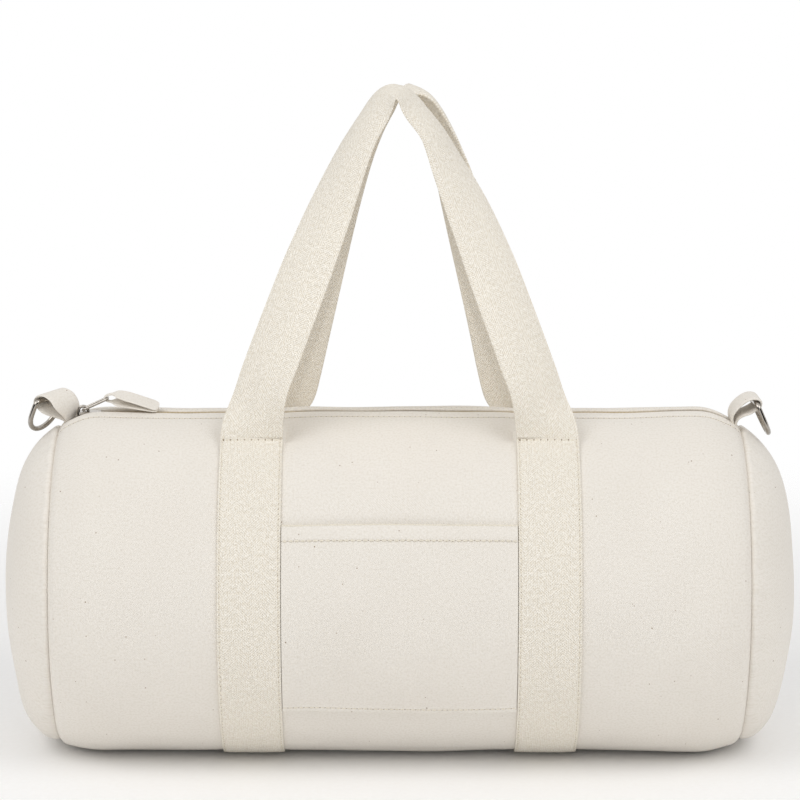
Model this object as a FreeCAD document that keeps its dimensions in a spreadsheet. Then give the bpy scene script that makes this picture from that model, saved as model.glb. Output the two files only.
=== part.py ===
# Barrel bag of cotton canvas with webbing handles, a front pocket, a zipped mouth and two D-rings.
# Millimetres and degrees. X runs along the barrel, the pocket faces -Y, Z is up,
# and the origin is the middle of the base. Angles round the barrel start at the top
# and grow towards the pocket side.
import FreeCAD
import Part
import math
import os
import re
import Sketcher
from FreeCAD import Vector

doc = FreeCAD.newDocument("BarrelBag")

# Driving dimensions: alias, size, meaning.
measures = [
    ("barrel_radius", 126.5, "outside of the canvas round the barrel"),
    ("barrel_length", 500.0, "from end seam to end seam"),
    ("cloth_thickness", 1.2, "doubled canvas"),
    ("base_flat", 6.0, "how far the round is pressed flat where the bag stands"),
    ("shoulder_length", 34.0, "stretch over which the barrel draws in to an end seam"),
    ("seam_drop", 11.0, "how much smaller the radius is at an end seam"),
    ("end_bulge", 41.0, "how far an end panel swells past its seam"),
    ("knuckle_radius", 66.0, "round of an end panel near its seam"),
    ("knuckle_slope", 30.0, "slope of an end panel where it leaves the seam"),
    ("binding_depth", 9.0, "bound seam allowance inside an end seam"),
    ("binding_thickness", 3.0, "bound seam allowance, along the barrel"),
    ("sewn_gap", 0.1, "between layers that are sewn together"),
    ("moving_gap", 0.3, "between pieces that move against each other"),
    ("webbing_width", 45.0, "strap and handle webbing"),
    ("webbing_thickness", 2.0, "strap and handle webbing"),
    ("strap_spacing", 213.4, "between the middles of the two straps"),
    ("mouth_inset", 78.0, "from an end seam to where the mouth walls start"),
    ("fold_angle", 49.0, "angle of the crease on which a mouth wall turns"),
    ("wall_opening", 42.0, "how far a mouth wall turns outwards"),
    ("front_stitch_angle", 23.0, "angle of the front handle's stitch line"),
    ("rear_stitch_angle", 38.0, "angle of the rear handle's stitch line"),
    ("handle_crest", 486.0, "middle of the webbing at a handle's top, above the floor"),
    ("handle_bend", 19.0, "radius of the bend at a handle's top"),
    ("handle_twist", 78.0, "turn of the webbing between its stitch line and its top"),
    ("handle_apart", 3.0, "between the two handles at their tops"),
    ("front_top_shift", -3.9, "front handle's top, along the barrel"),
    ("rear_top_shift", 6.8, "rear handle's top, along the barrel"),
    ("stitch_pitch", 5.0, "thread spacing along a handle's stitch line"),
    ("stitch_length", 3.2, "one thread on the face of the webbing"),
    ("stitch_width", 0.7, "thickness of the thread"),
    ("stitch_inset", 3.0, "stitch line below the webbing's bend"),
    ("pocket_top_angle", 56.0, "angle of the pocket's open edge"),
    ("pocket_base_angle", 122.5, "angle of the pocket's sewn edge"),
    ("pocket_thickness", 1.2, "doubled canvas of the pocket"),
    ("pocket_side_gap", 0.5, "between the pocket and a strap"),
    ("zip_gap", 10.0, "between the two folded edges beside the zip"),
    ("tape_width", 12.0, "one half of the zip's tape under the canvas"),
    ("tape_thickness", 0.6, "zip tape"),
    ("chain_half_width", 3.4, "from the zip's middle to the back of its teeth"),
    ("chain_slot", 1.2, "between the two rows of teeth, for the slider's post"),
    ("chain_thickness", 2.4, "zip teeth"),
    ("tooth_pitch", 2.5, "zip teeth"),
    ("tooth_length", 1.3, "one tooth along the zip"),
    ("tooth_depth", 1.6, "one tooth across the zip"),
    ("slider_inset", 22.0, "slider's middle from the left end seam when closed"),
    ("slider_length", 18.0, "slider's body"),
    ("slider_width", 9.0, "slider's body"),
    ("plate_thickness", 1.0, "slider's upper and lower plates"),
    ("post_length", 4.0, "slider's post between the teeth"),
    ("crown_radius", 3.6, "arch on the slider, at the middle of its wire"),
    ("crown_wire", 1.1, "radius of the arch's wire"),
    ("crown_offset", 4.0, "arch left of the slider's middle"),
    ("stop_length", 2.4, "zip stops"),
    ("link_length", 20.0, "pull link between the middles of its end bars"),
    ("link_half_width", 3.4, "pull link at the middle of its rails"),
    ("link_wire", 0.9, "radius of the pull link's wire"),
    ("link_rise", 25.0, "slope of the pull link when it lies down"),
    ("pull_length", 37.0, "fabric pull from its bar to its tip"),
    ("pull_width", 15.0, "fabric pull"),
    ("pull_leaf", 1.3, "one leaf of the fabric pull"),
    ("pull_droop", 13.0, "slope of the fabric pull when it lies down"),
    ("pull_open_length", 9.0, "loop in the fabric pull"),
    ("pull_tip_round", 5.0, "corners of the fabric pull's tip"),
    ("tab_base_inset", 4.0, "ring tab's base inside the end seam"),
    ("tab_length", 24.0, "ring tab from its base to the ring's bar"),
    ("tab_width", 25.0, "ring tab"),
    ("tab_leaf", 1.7, "one leaf of the ring tab"),
    ("tab_rise", 54.0, "slope of a ring tab"),
    ("tab_open_length", 17.0, "loop in a ring tab"),
    ("tab_left_turn", 35.0, "left ring tab's turn about the upright"),
    ("tab_right_turn", 4.0, "right ring tab's turn about the upright"),
    ("ring_wire", 1.75, "radius of a D-ring's wire"),
    ("ring_length", 26.0, "D-ring from its bar to its bow, at the middle of the wire"),
    ("ring_inside_width", 26.0, "D-ring along its bar"),
    ("ring_hang", 66.0, "slope of a D-ring as it hangs"),
]

sheet = doc.addObject("Spreadsheet::Sheet", "Sizes")
for row, (alias, size, meaning) in enumerate(measures, start=1):
    sheet.set(f"A{row}", meaning)
    sheet.set(f"B{row}", str(size))
    sheet.setAlias(f"B{row}", alias)
doc.recompute()

# Sizes that follow from the driving ones.
derived = {
    "half_length": "barrel_length / 2",
    "axis_height": "webbing_thickness + sewn_gap + barrel_radius - base_flat",
    "seam_radius": "barrel_radius - seam_drop",
    "shoulder_radius": "(shoulder_length^2 + seam_drop^2) / (2 * seam_drop)",
    "straight_half": "half_length - shoulder_length",
    "inner_radius": "barrel_radius - cloth_thickness",
    "seam_inner_radius": "barrel_radius - shoulder_radius"
    " + sqrt((shoulder_radius - cloth_thickness)^2 - shoulder_length^2)",
    "strap_inside": "barrel_radius + sewn_gap",
    "strap_outside": "strap_inside + webbing_thickness",
    "slice_radius": "2 * barrel_radius",
    # end panel: a round near the seam runs into a flatter crown
    "knuckle_x": "half_length - knuckle_radius * sin(knuckle_slope)",
    "knuckle_r": "seam_radius - knuckle_radius * cos(knuckle_slope)",
    "bulge_reach": "half_length + end_bulge",
    "crown_span": "bulge_reach - knuckle_x",
    "dome_radius": "(crown_span^2 + knuckle_r^2 - knuckle_radius^2) / (2 * (crown_span - knuckle_radius))",
    "dome_x": "bulge_reach - dome_radius",
    "knuckle_share": "dome_radius / (dome_radius - knuckle_radius)",
    "inner_share": "(dome_radius - cloth_thickness) / (dome_radius - knuckle_radius)",
    "rim_inner_r": "knuckle_r + sqrt((knuckle_radius - cloth_thickness)^2"
    " - (knuckle_radius * sin(knuckle_slope))^2)",
    # mouth and zip
    "mouth_half": "half_length - mouth_inset",
    "degree": "barrel_radius * pi / 180",
    "wall_edge_angle": "fold_angle - moving_gap / degree",
    "crease_gap": "(moving_gap + (webbing_thickness + sewn_gap) * sin(wall_opening)) / cos(wall_opening)",
    "strap_foot_angle": "fold_angle - crease_gap / degree",
    "zip_edge_angle": "zip_gap / 2 / degree",
    "tape_outside": "inner_radius - sewn_gap",
    "tape_inside": "tape_outside - tape_thickness",
    "tape_near_angle": "(chain_half_width + sewn_gap) / degree",
    "tape_far_angle": "(chain_half_width + tape_width) / degree",
    "end_tape_angle": "(zip_gap / 2 - sewn_gap) / degree",
    "chain_height": "axis_height + (tape_outside + tape_inside) / 2",
    "slider_rest": "half_length - slider_inset",
    "slider_half": "slider_length / 2",
    "slider_height": "chain_thickness + 2 * moving_gap + 2 * plate_thickness",
    "plate_top": "chain_height + slider_height / 2",
    "slot_half": "slider_rest + slider_half + stop_length + 2 * moving_gap",
    "crown_x": "-slider_rest - crown_offset",
    "pin_height": "plate_top + crown_radius - crown_wire - moving_gap - link_wire",
    "pull_bar_x": "crown_x + link_length * cos(link_rise)",
    "pull_bar_height": "pin_height + link_length * sin(link_rise)",
    # straps, pocket, rings
    "strap_x": "strap_spacing / 2",
    "strap_half": "webbing_width / 2",
    "pocket_half": "strap_x - strap_half - pocket_side_gap",
    "pocket_inside": "barrel_radius + moving_gap",
    "tab_base_x": "half_length - tab_base_inset",
    "tab_base_height": "axis_height + seam_radius",
    "tab_trim": "seam_drop",
    "tab_eye": "ring_wire + moving_gap",
    "ring_half": "ring_inside_width / 2 + ring_wire",
}

names = {alias: f"Sizes.{alias}" for alias, _, _ in measures}


def formula(text):
    return re.sub(r"[a-z]\w*", lambda word: names.get(word.group(), word.group()), text)


for name, text in derived.items():
    names[name] = f"({formula(text)})"


def value(text):
    return float(sheet.evalExpression(formula(text)))


def add(kind, label, place=None, **sizes):
    thing = doc.addObject(kind, label)
    thing.Label = label
    for size, text in sizes.items():
        thing.setExpression(size, formula(text))
    if place:
        thing.setExpression("Placement", formula(place))
    return thing


def spot(x, y, z, turn="rotation(vector(0; 0; 1); 0)"):
    return f"placement(vector({x}; {y}; {z}); {turn})"


def about(axis, angle):
    return f"rotation(vector({axis}); {angle})"


aboutX = "1; 0; 0"
aboutY = "0; 1; 0"
aboutZ = "0; 0; 1"
onAxis = about(aboutY, "90")


def cut(label, base, *tools):
    for count, tool in enumerate(tools, start=1):
        piece = doc.addObject("Part::Cut", f"{label}_cut_{count}")
        piece.Base = base
        piece.Tool = tool
        base = piece
    base.Label = label
    return base


def common(label, first, second):
    piece = doc.addObject("Part::Common", label)
    piece.Base = first
    piece.Tool = second
    piece.Label = label
    return piece


def fuse(label, *shapes):
    piece = doc.addObject("Part::MultiFuse", label)
    piece.Shapes = list(shapes)
    piece.Label = label
    return piece


def box(label, x0, x1, y0, y1, z0, z1):
    return add(
        "Part::Box",
        label,
        spot(x0, y0, z0),
        Length=f"({x1}) - ({x0})",
        Width=f"({y1}) - ({y0})",
        Height=f"({z1}) - ({z0})",
    )


# A round bar along the barrel's axis, and a slice of the barrel between two angles.
def roller(label, left, right, radius):
    return add(
        "Part::Cylinder",
        label,
        spot(left, "0", "axis_height", onAxis),
        Radius=radius,
        Height=f"({right}) - ({left})",
    )


def slice_of(label, left, right, first, last):
    turn = about(aboutX, f"180 + ({first})") + " * " + onAxis
    return add(
        "Part::Cylinder",
        label,
        spot(left, "0", "axis_height", turn),
        Radius="slice_radius",
        Height=f"({right}) - ({left})",
        Angle=f"({last}) - ({first})",
    )


# One layer of material on the barrel, between two radii and two angles.
def layer(label, left, right, inside, outside, first, last):
    tube = cut(
        f"{label}_tube",
        roller(f"{label}_outside", left, right, outside),
        roller(f"{label}_inside", left, right, inside),
    )
    return common(label, tube, slice_of(f"{label}_slice", left, right, first, last))


# A closed outline in a body's XZ plane: each step is (x, z) for a line,
# or (x, z, radius, way) for an arc, with way +1 when it runs anticlockwise.
def outline(sketch, start, *steps):
    corners = [start] + [step[:2] for step in steps]
    points = [Vector(value(x), value(z), 0) for x, z in corners]
    ends = []
    for number, step in enumerate(steps):
        first, last = points[number], points[number + 1]
        if len(step) == 2:
            edge = sketch.addGeometry(Part.LineSegment(first, last), False)
            ends.append((edge, 1, 2))
            continue
        radius, way = value(step[2]), step[3]
        chord = last - first
        rise = math.sqrt(max(radius**2 - (chord.Length / 2) ** 2, 0))
        middle = (first + last) / 2 + Vector(-chord.y, chord.x, 0).normalize() * (way * rise)
        low, high = (first, last) if way > 0 else (last, first)
        angles = [math.atan2(p.y - middle.y, p.x - middle.x) for p in (low, high)]
        if angles[1] <= angles[0]:
            angles[1] += 2 * math.pi
        arc = Part.ArcOfCircle(Part.Circle(middle, Vector(0, 0, 1), radius), *angles)
        edge = sketch.addGeometry(arc, False)
        ends.append((edge, 1, 2) if way > 0 else (edge, 2, 1))
        index = sketch.addConstraint(Sketcher.Constraint("Radius", edge, radius))
        sketch.setExpression(f"Constraints[{index}]", formula(step[2]))
    for number, (edge, first, _) in enumerate(ends):
        before, _, last = ends[number - 1]
        sketch.addConstraint(Sketcher.Constraint("Coincident", before, last, edge, first))
        for kind, text, place in zip(("DistanceX", "DistanceY"), corners[number], points[number][:2]):
            index = sketch.addConstraint(Sketcher.Constraint(kind, edge, first, place))
            sketch.setExpression(f"Constraints[{index}]", formula(text))


def sketched(label, place, *outlines):
    body = add("PartDesign::Body", label, place)
    plane = next(o for o in body.Origin.OriginFeatures if o.Role == "XZ_Plane")
    sketch = body.newObject("Sketcher::SketchObject", f"{label}_sketch")
    sketch.AttachmentSupport = (plane, [""])
    sketch.MapMode = "FlatFace"
    for steps in outlines:
        outline(sketch, *steps)
    doc.recompute()
    return body, sketch


# A shape turned about the barrel's axis; its outline gives (x, radius).
def turned(label, *outlines):
    body, sketch = sketched(label, spot("0", "0", "axis_height"), *outlines)
    turn = body.newObject("PartDesign::Revolution", f"{label}_turn")
    turn.Profile = sketch
    turn.ReferenceAxis = (sketch, ["H_Axis"])
    turn.Angle = 360
    doc.recompute()
    return body


# A flat outline given a width, equally to both sides of its plane.
def widened(label, place, width, *outlines):
    body, sketch = sketched(label, place, *outlines)
    pad = body.newObject("PartDesign::Pad", f"{label}_width")
    pad.Profile = sketch
    pad.SideType = "Symmetric"
    pad.setExpression("Length", formula(width))
    doc.recompute()
    return body


# Barrel: the canvas tube, flat where it stands, before its mouth is cut.
def barrel_form(label, radius, seam, shoulder):
    return turned(
        label,
        [
            ("-half_length", "0"),
            ("half_length", "0"),
            ("half_length", seam),
            ("straight_half", radius, shoulder, 1),
            ("-straight_half", radius),
            ("-half_length", seam, shoulder, 1),
            ("-half_length", "0"),
        ],
    )


def floor_below(label, height):
    return box(
        label, "-barrel_length", "barrel_length", "-slice_radius", "slice_radius", "-slice_radius", height
    )


barrelOutside = barrel_form("barrel_outside", "barrel_radius", "seam_radius", "shoulder_radius")
barrelInside = barrel_form(
    "barrel_inside", "inner_radius", "seam_inner_radius", "shoulder_radius - cloth_thickness"
)
clothBase = "webbing_thickness + sewn_gap"
tube = cut(
    "tube",
    cut("tube_outside", barrelOutside, floor_below("under_cloth", clothBase)),
    cut("tube_inside", barrelInside, floor_below("inside_base", f"{clothBase} + cloth_thickness")),
)

mouthSlice = slice_of("mouth_slice", "-mouth_half", "mouth_half", "-fold_angle", "fold_angle")
zipSlot = box(
    "zip_slot", "-slot_half", "slot_half", "-zip_gap / 2", "zip_gap / 2", "axis_height", "2 * slice_radius"
)
pieces = [cut("main_panel", tube, mouthSlice, zipSlot)]

wallLeft = "-mouth_half + moving_gap"
wallRight = "mouth_half - moving_gap"
sides = {"front": 1, "rear": -1}


# Angles from one to another on the front, or mirrored on the rear.
def mirrored(side, first, last):
    return (first, last) if sides[side] > 0 else (f"-({last})", f"-({first})")


for side in sides:
    edges = mirrored(side, "zip_edge_angle", "wall_edge_angle")
    wallSlice = slice_of(f"{side}_wall_slice", wallLeft, wallRight, *edges)
    pieces.append(common(f"{side}_mouth_wall", tube, wallSlice))


# End panels and the bound allowances of their seams.
def end_panel(label):
    joinX = "dome_x + (knuckle_x - dome_x) * knuckle_share"
    joinR = "knuckle_r * knuckle_share"
    innerJoinX = "dome_x + (knuckle_x - dome_x) * inner_share"
    innerJoinR = "knuckle_r * inner_share"
    return turned(
        label,
        [
            ("half_length", "rim_inner_r"),
            ("half_length", "seam_radius"),
            (joinX, joinR, "knuckle_radius", -1),
            ("bulge_reach", "0", "dome_radius", -1),
            ("bulge_reach - cloth_thickness", "0"),
            (innerJoinX, innerJoinR, "dome_radius - cloth_thickness", 1),
            ("half_length", "rim_inner_r", "knuckle_radius - cloth_thickness", 1),
        ],
    )


def seam_binding(label):
    outside = "seam_inner_radius - sewn_gap"
    return turned(
        label,
        [
            ("half_length - binding_thickness", f"{outside} - binding_depth"),
            ("half_length", f"{outside} - binding_depth"),
            ("half_length", outside),
            ("half_length - binding_thickness", outside),
            ("half_length - binding_thickness", f"{outside} - binding_depth"),
        ],
    )


halfTurn = about(aboutZ, "180")
for label, make in (("end_panel", end_panel), ("seam_binding", seam_binding)):
    pieces.append(make(f"{label}_right"))
    left = make(f"{label}_left")
    left.setExpression("Placement", formula(spot("0", "0", "axis_height", halfTurn)))
    pieces.append(left)

# Straps: one band under the barrel, and a short length on each mouth wall.
for hand, middle in (("left", "-strap_x"), ("right", "strap_x")):
    left, right = f"{middle} - strap_half", f"{middle} + strap_half"
    band = cut(
        f"strap_{hand}_band",
        roller(f"strap_{hand}_outside", left, right, "strap_outside"),
        floor_below(f"under_strap_{hand}", "0"),
    )
    core = cut(
        f"strap_{hand}_core",
        roller(f"strap_{hand}_inside", left, right, "strap_inside"),
        floor_below(f"under_core_{hand}", "webbing_thickness"),
    )
    top = slice_of(f"strap_{hand}_top", left, right, "-fold_angle", "fold_angle")
    pieces.append(cut(f"strap_wrap_{hand}", band, core, top))
    for side in sides:
        edges = mirrored(side, f"{side}_stitch_angle", "strap_foot_angle")
        pieces.append(layer(f"{side}_strap_{hand}", left, right, "strap_inside", "strap_outside", *edges))


# Handles: webbing that leaves its stitch lines flat and turns on edge over the top.
legSteps = 10
bendSteps = 4
swingShare = 0.3


def handle(label, side, stitchAngle, topShift):
    way = -sides[side]
    angle = math.radians(value(stitchAngle))
    width, thickness = value("webbing_width"), value("webbing_thickness")
    outside, twist = value("strap_outside"), math.radians(value("handle_twist"))
    across = width / 2 * math.sin(twist) + thickness / 2 * math.cos(twist)
    base = Vector(0, way * (outside * math.sin(angle) - thickness / 2), value("axis_height"))
    base.z += outside * math.cos(angle) + 2 * value("moving_gap")
    top = Vector(0, way * (across + value("handle_apart") / 2), value("handle_crest"))
    rise = top - base
    tall = rise.Length
    upward = rise / tall
    facing = Vector(0, way * upward.z, -way * upward.y)
    bend, shift = value("handle_bend"), value(topShift)
    hub = Vector(shift, tall - bend, 0)

    # in the handle's own plane: x along the barrel, y up the handle
    def in_space(flat):
        return Vector(flat.x, 0, 0) + upward * flat.y

    def section(flat, outward, share):
        turn = twist * share
        edge = in_space(outward) * math.cos(turn) - facing * math.sin(turn)
        face = facing * math.cos(turn) + in_space(outward) * math.sin(turn)
        middle = base + in_space(flat)
        corners = [
            middle + edge * (i * width / 2) + face * (j * thickness / 2)
            for i, j in ((-1, -1), (1, -1), (1, 1), (-1, 1))
        ]
        return Part.makePolygon(corners + corners[:1])

    def leg(hand):
        foot = Vector(hand * value("strap_x"), 0, 0)
        toHub = hub - foot
        slope = math.atan2(toHub.y, toHub.x) - hand * math.asin(bend / toHub.Length)
        run = math.sqrt(toHub.Length**2 - bend**2)
        along = Vector(math.cos(slope), math.sin(slope), 0)
        outward = Vector(hand * along.y, -hand * along.x, 0)
        return foot, along, outward, run

    # the webbing starts square to its stitch line and swings into the line of the leg
    def half(hand):
        foot, along, outward, run = leg(hand)
        start = math.atan2(outward.y, outward.x)
        level = math.atan2(0, hand)
        arc = abs(math.pi / 2 - start) * bend
        whole = run + arc
        rows = []
        for step in range(legSteps):
            part = step / legSteps
            swing = level + (start - level) * min(1, part / swingShare)
            edgeways = Vector(math.cos(swing), math.sin(swing), 0)
            rows.append(section(foot + along * (run * part), edgeways, run * part / whole))
        for step in range(bendSteps):
            turn = start + (math.pi / 2 - start) * step / bendSteps
            outward = Vector(math.cos(turn), math.sin(turn), 0)
            rows.append(section(hub + outward * bend, outward, (run + arc * step / bendSteps) / whole))
        return rows

    crest = section(hub + Vector(0, bend, 0), Vector(0, 1, 0), 1)
    piece = doc.addObject("Part::Feature", label)
    piece.Label = label
    piece.Shape = Part.makeLoft(half(-1) + [crest] + half(1)[::-1], True, True)
    return piece


# Threads of a handle's stitch lines, lying on the straps just under the bend.
def stitch_lines(label, side, stitchAngle):
    way = -sides[side]
    size, thick = value("stitch_length"), value("stitch_width")
    radius, inset = value("strap_outside"), value("stitch_inset")
    angle = value(stitchAngle) + math.degrees(inset / radius)
    count = int((value("webbing_width") - 2 * inset) // value("stitch_pitch")) + 1
    threads = []
    for middle in (-value("strap_x"), value("strap_x")):
        for number in range(count):
            x = middle + (number - (count - 1) / 2) * value("stitch_pitch")
            thread = Part.makeBox(size, thick, thick, Vector(x - size / 2, -thick / 2, radius))
            thread.rotate(Vector(), Vector(1, 0, 0), -way * angle)
            thread.translate(Vector(0, 0, value("axis_height")))
            threads.append(thread)
    piece = doc.addObject("Part::Feature", label)
    piece.Label = label
    piece.Shape = Part.makeCompound(threads)
    return piece


for side in sides:
    pieces.append(handle(f"{side}_handle", side, f"{side}_stitch_angle", f"{side}_top_shift"))
    pieces.append(stitch_lines(f"{side}_handle_stitches", side, f"{side}_stitch_angle"))

pieces.append(
    layer(
        "front_pocket",
        "-pocket_half",
        "pocket_half",
        "pocket_inside",
        "pocket_inside + pocket_thickness",
        "pocket_top_angle",
        "pocket_base_angle",
    )
)


# Zip: tape halves and rows of teeth on the walls, with short fixed lengths past the mouth.
def tooth_row(left, right, way):
    start, stop, pitch = value(left), value(right), value("tooth_pitch")
    back, tip = value("chain_half_width"), value("chain_slot") / 2
    root, tooth = tip + value("tooth_depth"), value("tooth_length")
    count = int((stop - start - tooth) // pitch) + 1
    first = start + (stop - start - (count - 1) * pitch) / 2
    points = [(start, back), (start, root)]
    for number in range(count):
        x = first + number * pitch
        points += [(x - tooth / 2, root), (x - tooth / 2, tip), (x + tooth / 2, tip), (x + tooth / 2, root)]
    points += [(stop, root), (stop, back), (start, back)]
    thick = value("chain_thickness")
    low = value("chain_height") - thick / 2
    face = Part.Face(Part.makePolygon([Vector(x, way * y, low) for x, y in points]))
    return face.extrude(Vector(0, 0, thick))


def teeth(label, rows):
    piece = doc.addObject("Part::Feature", label)
    piece.Label = label
    piece.Shape = Part.makeCompound([tooth_row(*row) for row in rows])
    return piece


for side in sides:
    tapeEdges = mirrored(side, "tape_near_angle", "tape_far_angle")
    pieces.append(
        layer(f"zip_tape_{side}", wallLeft, wallRight, "tape_inside", "tape_outside", *tapeEdges)
    )
    pieces.append(teeth(f"zip_teeth_{side}", [(wallLeft, wallRight, -sides[side])]))

zipEnds = {
    "left": ("-slot_half + moving_gap", "-mouth_half - moving_gap"),
    "right": ("mouth_half + moving_gap", "slot_half - moving_gap"),
}
for hand, (left, right) in zipEnds.items():
    halves = [
        layer(
            f"zip_end_{hand}_{side}",
            left,
            right,
            "tape_inside",
            "tape_outside",
            *mirrored(side, "tape_near_angle", "end_tape_angle"),
        )
        for side in sides
    ]
    tape = doc.addObject("Part::Compound", f"zip_end_tape_{hand}")
    tape.Label = f"zip_end_tape_{hand}"
    tape.Links = halves
    pieces.append(tape)

stopLeft = "-slot_half + 2 * moving_gap + stop_length"
stopRight = "slot_half - 2 * moving_gap - stop_length"
pieces.append(
    teeth("zip_end_teeth_left", [(stopLeft, "-mouth_half - moving_gap", way) for way in (-1, 1)])
)
pieces.append(
    teeth("zip_end_teeth_right", [("mouth_half + moving_gap", stopRight, way) for way in (-1, 1)])
)


# Stops: a pair at the closed end, one across both rows at the other.
def zip_stop(label, left, near, far):
    half = "chain_thickness / 2"
    return box(
        label, left, f"{left} + stop_length", near, far, f"chain_height - {half}", f"chain_height + {half}"
    )


topStops = doc.addObject("Part::Compound", "zip_top_stops")
topStops.Label = "zip_top_stops"
topStops.Links = [
    zip_stop("zip_top_stop_front", "-slot_half + moving_gap", "-chain_half_width", "-chain_slot / 2"),
    zip_stop("zip_top_stop_rear", "-slot_half + moving_gap", "chain_slot / 2", "chain_half_width"),
]
pieces.append(topStops)
pieces.append(
    zip_stop("zip_bottom_stop", f"{stopRight} + moving_gap", "-chain_half_width", "chain_half_width")
)


# Slider: two plates joined by a post between the teeth, with an arch for the pull.
def slider(label):
    left, right = "-slider_rest - slider_half", "-slider_rest + slider_half"
    half, low, high = "slider_width / 2", "plate_top - slider_height", "plate_top"
    block = box("slider_block", left, right, f"-{half}", half, low, high)
    ends = doc.addObject("Part::Fillet", "slider_rounded")
    ends.Base = block
    doc.recompute()
    corner = value("slider_width") / 4
    ends.Edges = [
        (number, corner, corner)
        for number, edge in enumerate(block.Shape.Edges, start=1)
        if abs(edge.tangentAt(edge.FirstParameter).z) > 0.9
    ]
    room = "chain_thickness / 2 + moving_gap"
    chain = "chain_half_width + moving_gap"
    channel = box(
        "slider_channel", f"{left} - 1", f"{right} + 1", f"-({chain})", chain,
        f"chain_height - ({room})", f"chain_height + {room}",
    )
    gap = "tape_thickness / 2 + moving_gap"
    sideSlot = box(
        "slider_side_slot", f"{left} - 1", f"{right} + 1", "-slider_width", "slider_width",
        f"chain_height - ({gap})", f"chain_height + {gap}",
    )
    plates = cut("slider_plates", ends, channel, sideSlot)
    blade = "chain_slot / 2 - moving_gap"
    post = box("slider_post", left, f"{left} + post_length", f"-({blade})", blade, low, high)
    arch = add(
        "Part::Torus",
        "slider_arch",
        spot("crown_x", "0", "plate_top", about(aboutX, "90")),
        Radius1="crown_radius",
        Radius2="crown_wire",
        Angle3="180",
    )
    return fuse(label, plates, post, arch)


pieces.append(slider("zip_slider"))


# A loop of round wire: a straight bar on the local Y axis, two rails along X, and a far end
# that is either a second bar or a half-round bow.
def wire_loop(label, place, half, length, wire, bowed):
    rail = f"{length} - {half}" if bowed else length
    near = f"{place} * " + spot("0", f"-({half})", "0", about(aboutX, "-90"))
    parts = [add("Part::Cylinder", f"{label}_bar", near, Radius=wire, Height=f"2 * ({half})")]
    for hand, y in (("front", f"-({half})"), ("rear", half)):
        corner = f"{place} * " + spot("0", y, "0")
        parts.append(add("Part::Sphere", f"{label}_{hand}_corner", corner, Radius=wire))
        run = f"{place} * " + spot("0", y, "0", about(aboutY, "90"))
        parts.append(add("Part::Cylinder", f"{label}_{hand}_rail", run, Radius=wire, Height=rail))
    if bowed:
        bow = f"{place} * " + spot(rail, "0", "0", about(aboutZ, "-90"))
        parts.append(add("Part::Torus", f"{label}_bow", bow, Radius1=half, Radius2=wire, Angle3="180"))
        return fuse(label, *parts)
    for hand, y in (("front", f"-({half})"), ("rear", half)):
        corner = f"{place} * " + spot(length, y, "0")
        parts.append(add("Part::Sphere", f"{label}_{hand}_end", corner, Radius=wire))
    far = f"{place} * " + spot(length, f"-({half})", "0", about(aboutX, "-90"))
    parts.append(add("Part::Cylinder", f"{label}_far_bar", far, Radius=wire, Height=f"2 * ({half})"))
    return fuse(label, *parts)


# A strip folded over a round bar at its origin, its two leaves running together along X.
def folded_strip(label, place, eye, leaf, length, loop, width):
    outer = f"({eye} + {leaf})"
    lean = f"asin(({eye}) / ({length}))"
    hole = f"asin(({eye}) / ({loop}))"
    return widened(
        label,
        place,
        width,
        [
            (length, f"-({leaf})"),
            (length, leaf),
            (f"{outer} * sin({lean})", f"{outer} * cos({lean})"),
            (f"-{outer}", "0", outer, 1),
            (f"{outer} * sin({lean})", f"-{outer} * cos({lean})", outer, 1),
            (length, f"-({leaf})"),
        ],
        [
            (loop, "0"),
            (f"({eye}) * sin({hole})", f"({eye}) * cos({hole})"),
            (f"-({eye})", "0", eye, 1),
            (f"({eye}) * sin({hole})", f"-({eye}) * cos({hole})", eye, 1),
            (loop, "0"),
        ],
    )


pieces.append(
    wire_loop(
        "zip_pull_link",
        spot("crown_x", "0", "pin_height", about(aboutY, "-link_rise")),
        "link_half_width",
        "link_length",
        "link_wire",
        False,
    )
)


# Fabric pull: the folded strip with a round tip, narrowed to the link's inside at the bar.
def pull_tab(label):
    strip = folded_strip(
        "pull_strip",
        spot("pull_bar_x", "0", "pull_bar_height", about(aboutY, "pull_droop")),
        "link_wire + moving_gap",
        "pull_leaf",
        "pull_length",
        "pull_open_length",
        "pull_width",
    )
    pad = strip.Tip
    tip = value("pull_length")
    corners = [
        f"Edge{number}"
        for number, edge in enumerate(pad.Shape.Edges, start=1)
        if all(abs(end.X - tip) < 0.01 for end in edge.Vertexes)
        and abs(edge.tangentAt(edge.FirstParameter).z) > 0.9
    ]
    rounded = strip.newObject("PartDesign::Fillet", "pull_tip")
    rounded.Base = (pad, corners)
    rounded.setExpression("Radius", formula("pull_tip_round"))
    doc.recompute()
    inside = "link_half_width - link_wire - moving_gap"
    reach = "link_wire + moving_gap + pull_leaf"
    notches = []
    for hand, near, far in (("front", "-pull_width", f"-({inside})"), ("rear", inside, "pull_width")):
        place = spot("pull_bar_x", "0", "pull_bar_height", about(aboutY, "pull_droop"))
        place += " * " + spot(f"-2 * ({reach})", near, f"-2 * ({reach})")
        notches.append(
            add(
                "Part::Box", f"pull_notch_{hand}", place,
                Length=f"3 * ({reach})", Width=f"({far}) - ({near})", Height=f"4 * ({reach})",
            )
        )
    return cut(label, strip, *notches)


pieces.append(pull_tab("zip_pull_tab"))

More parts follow.
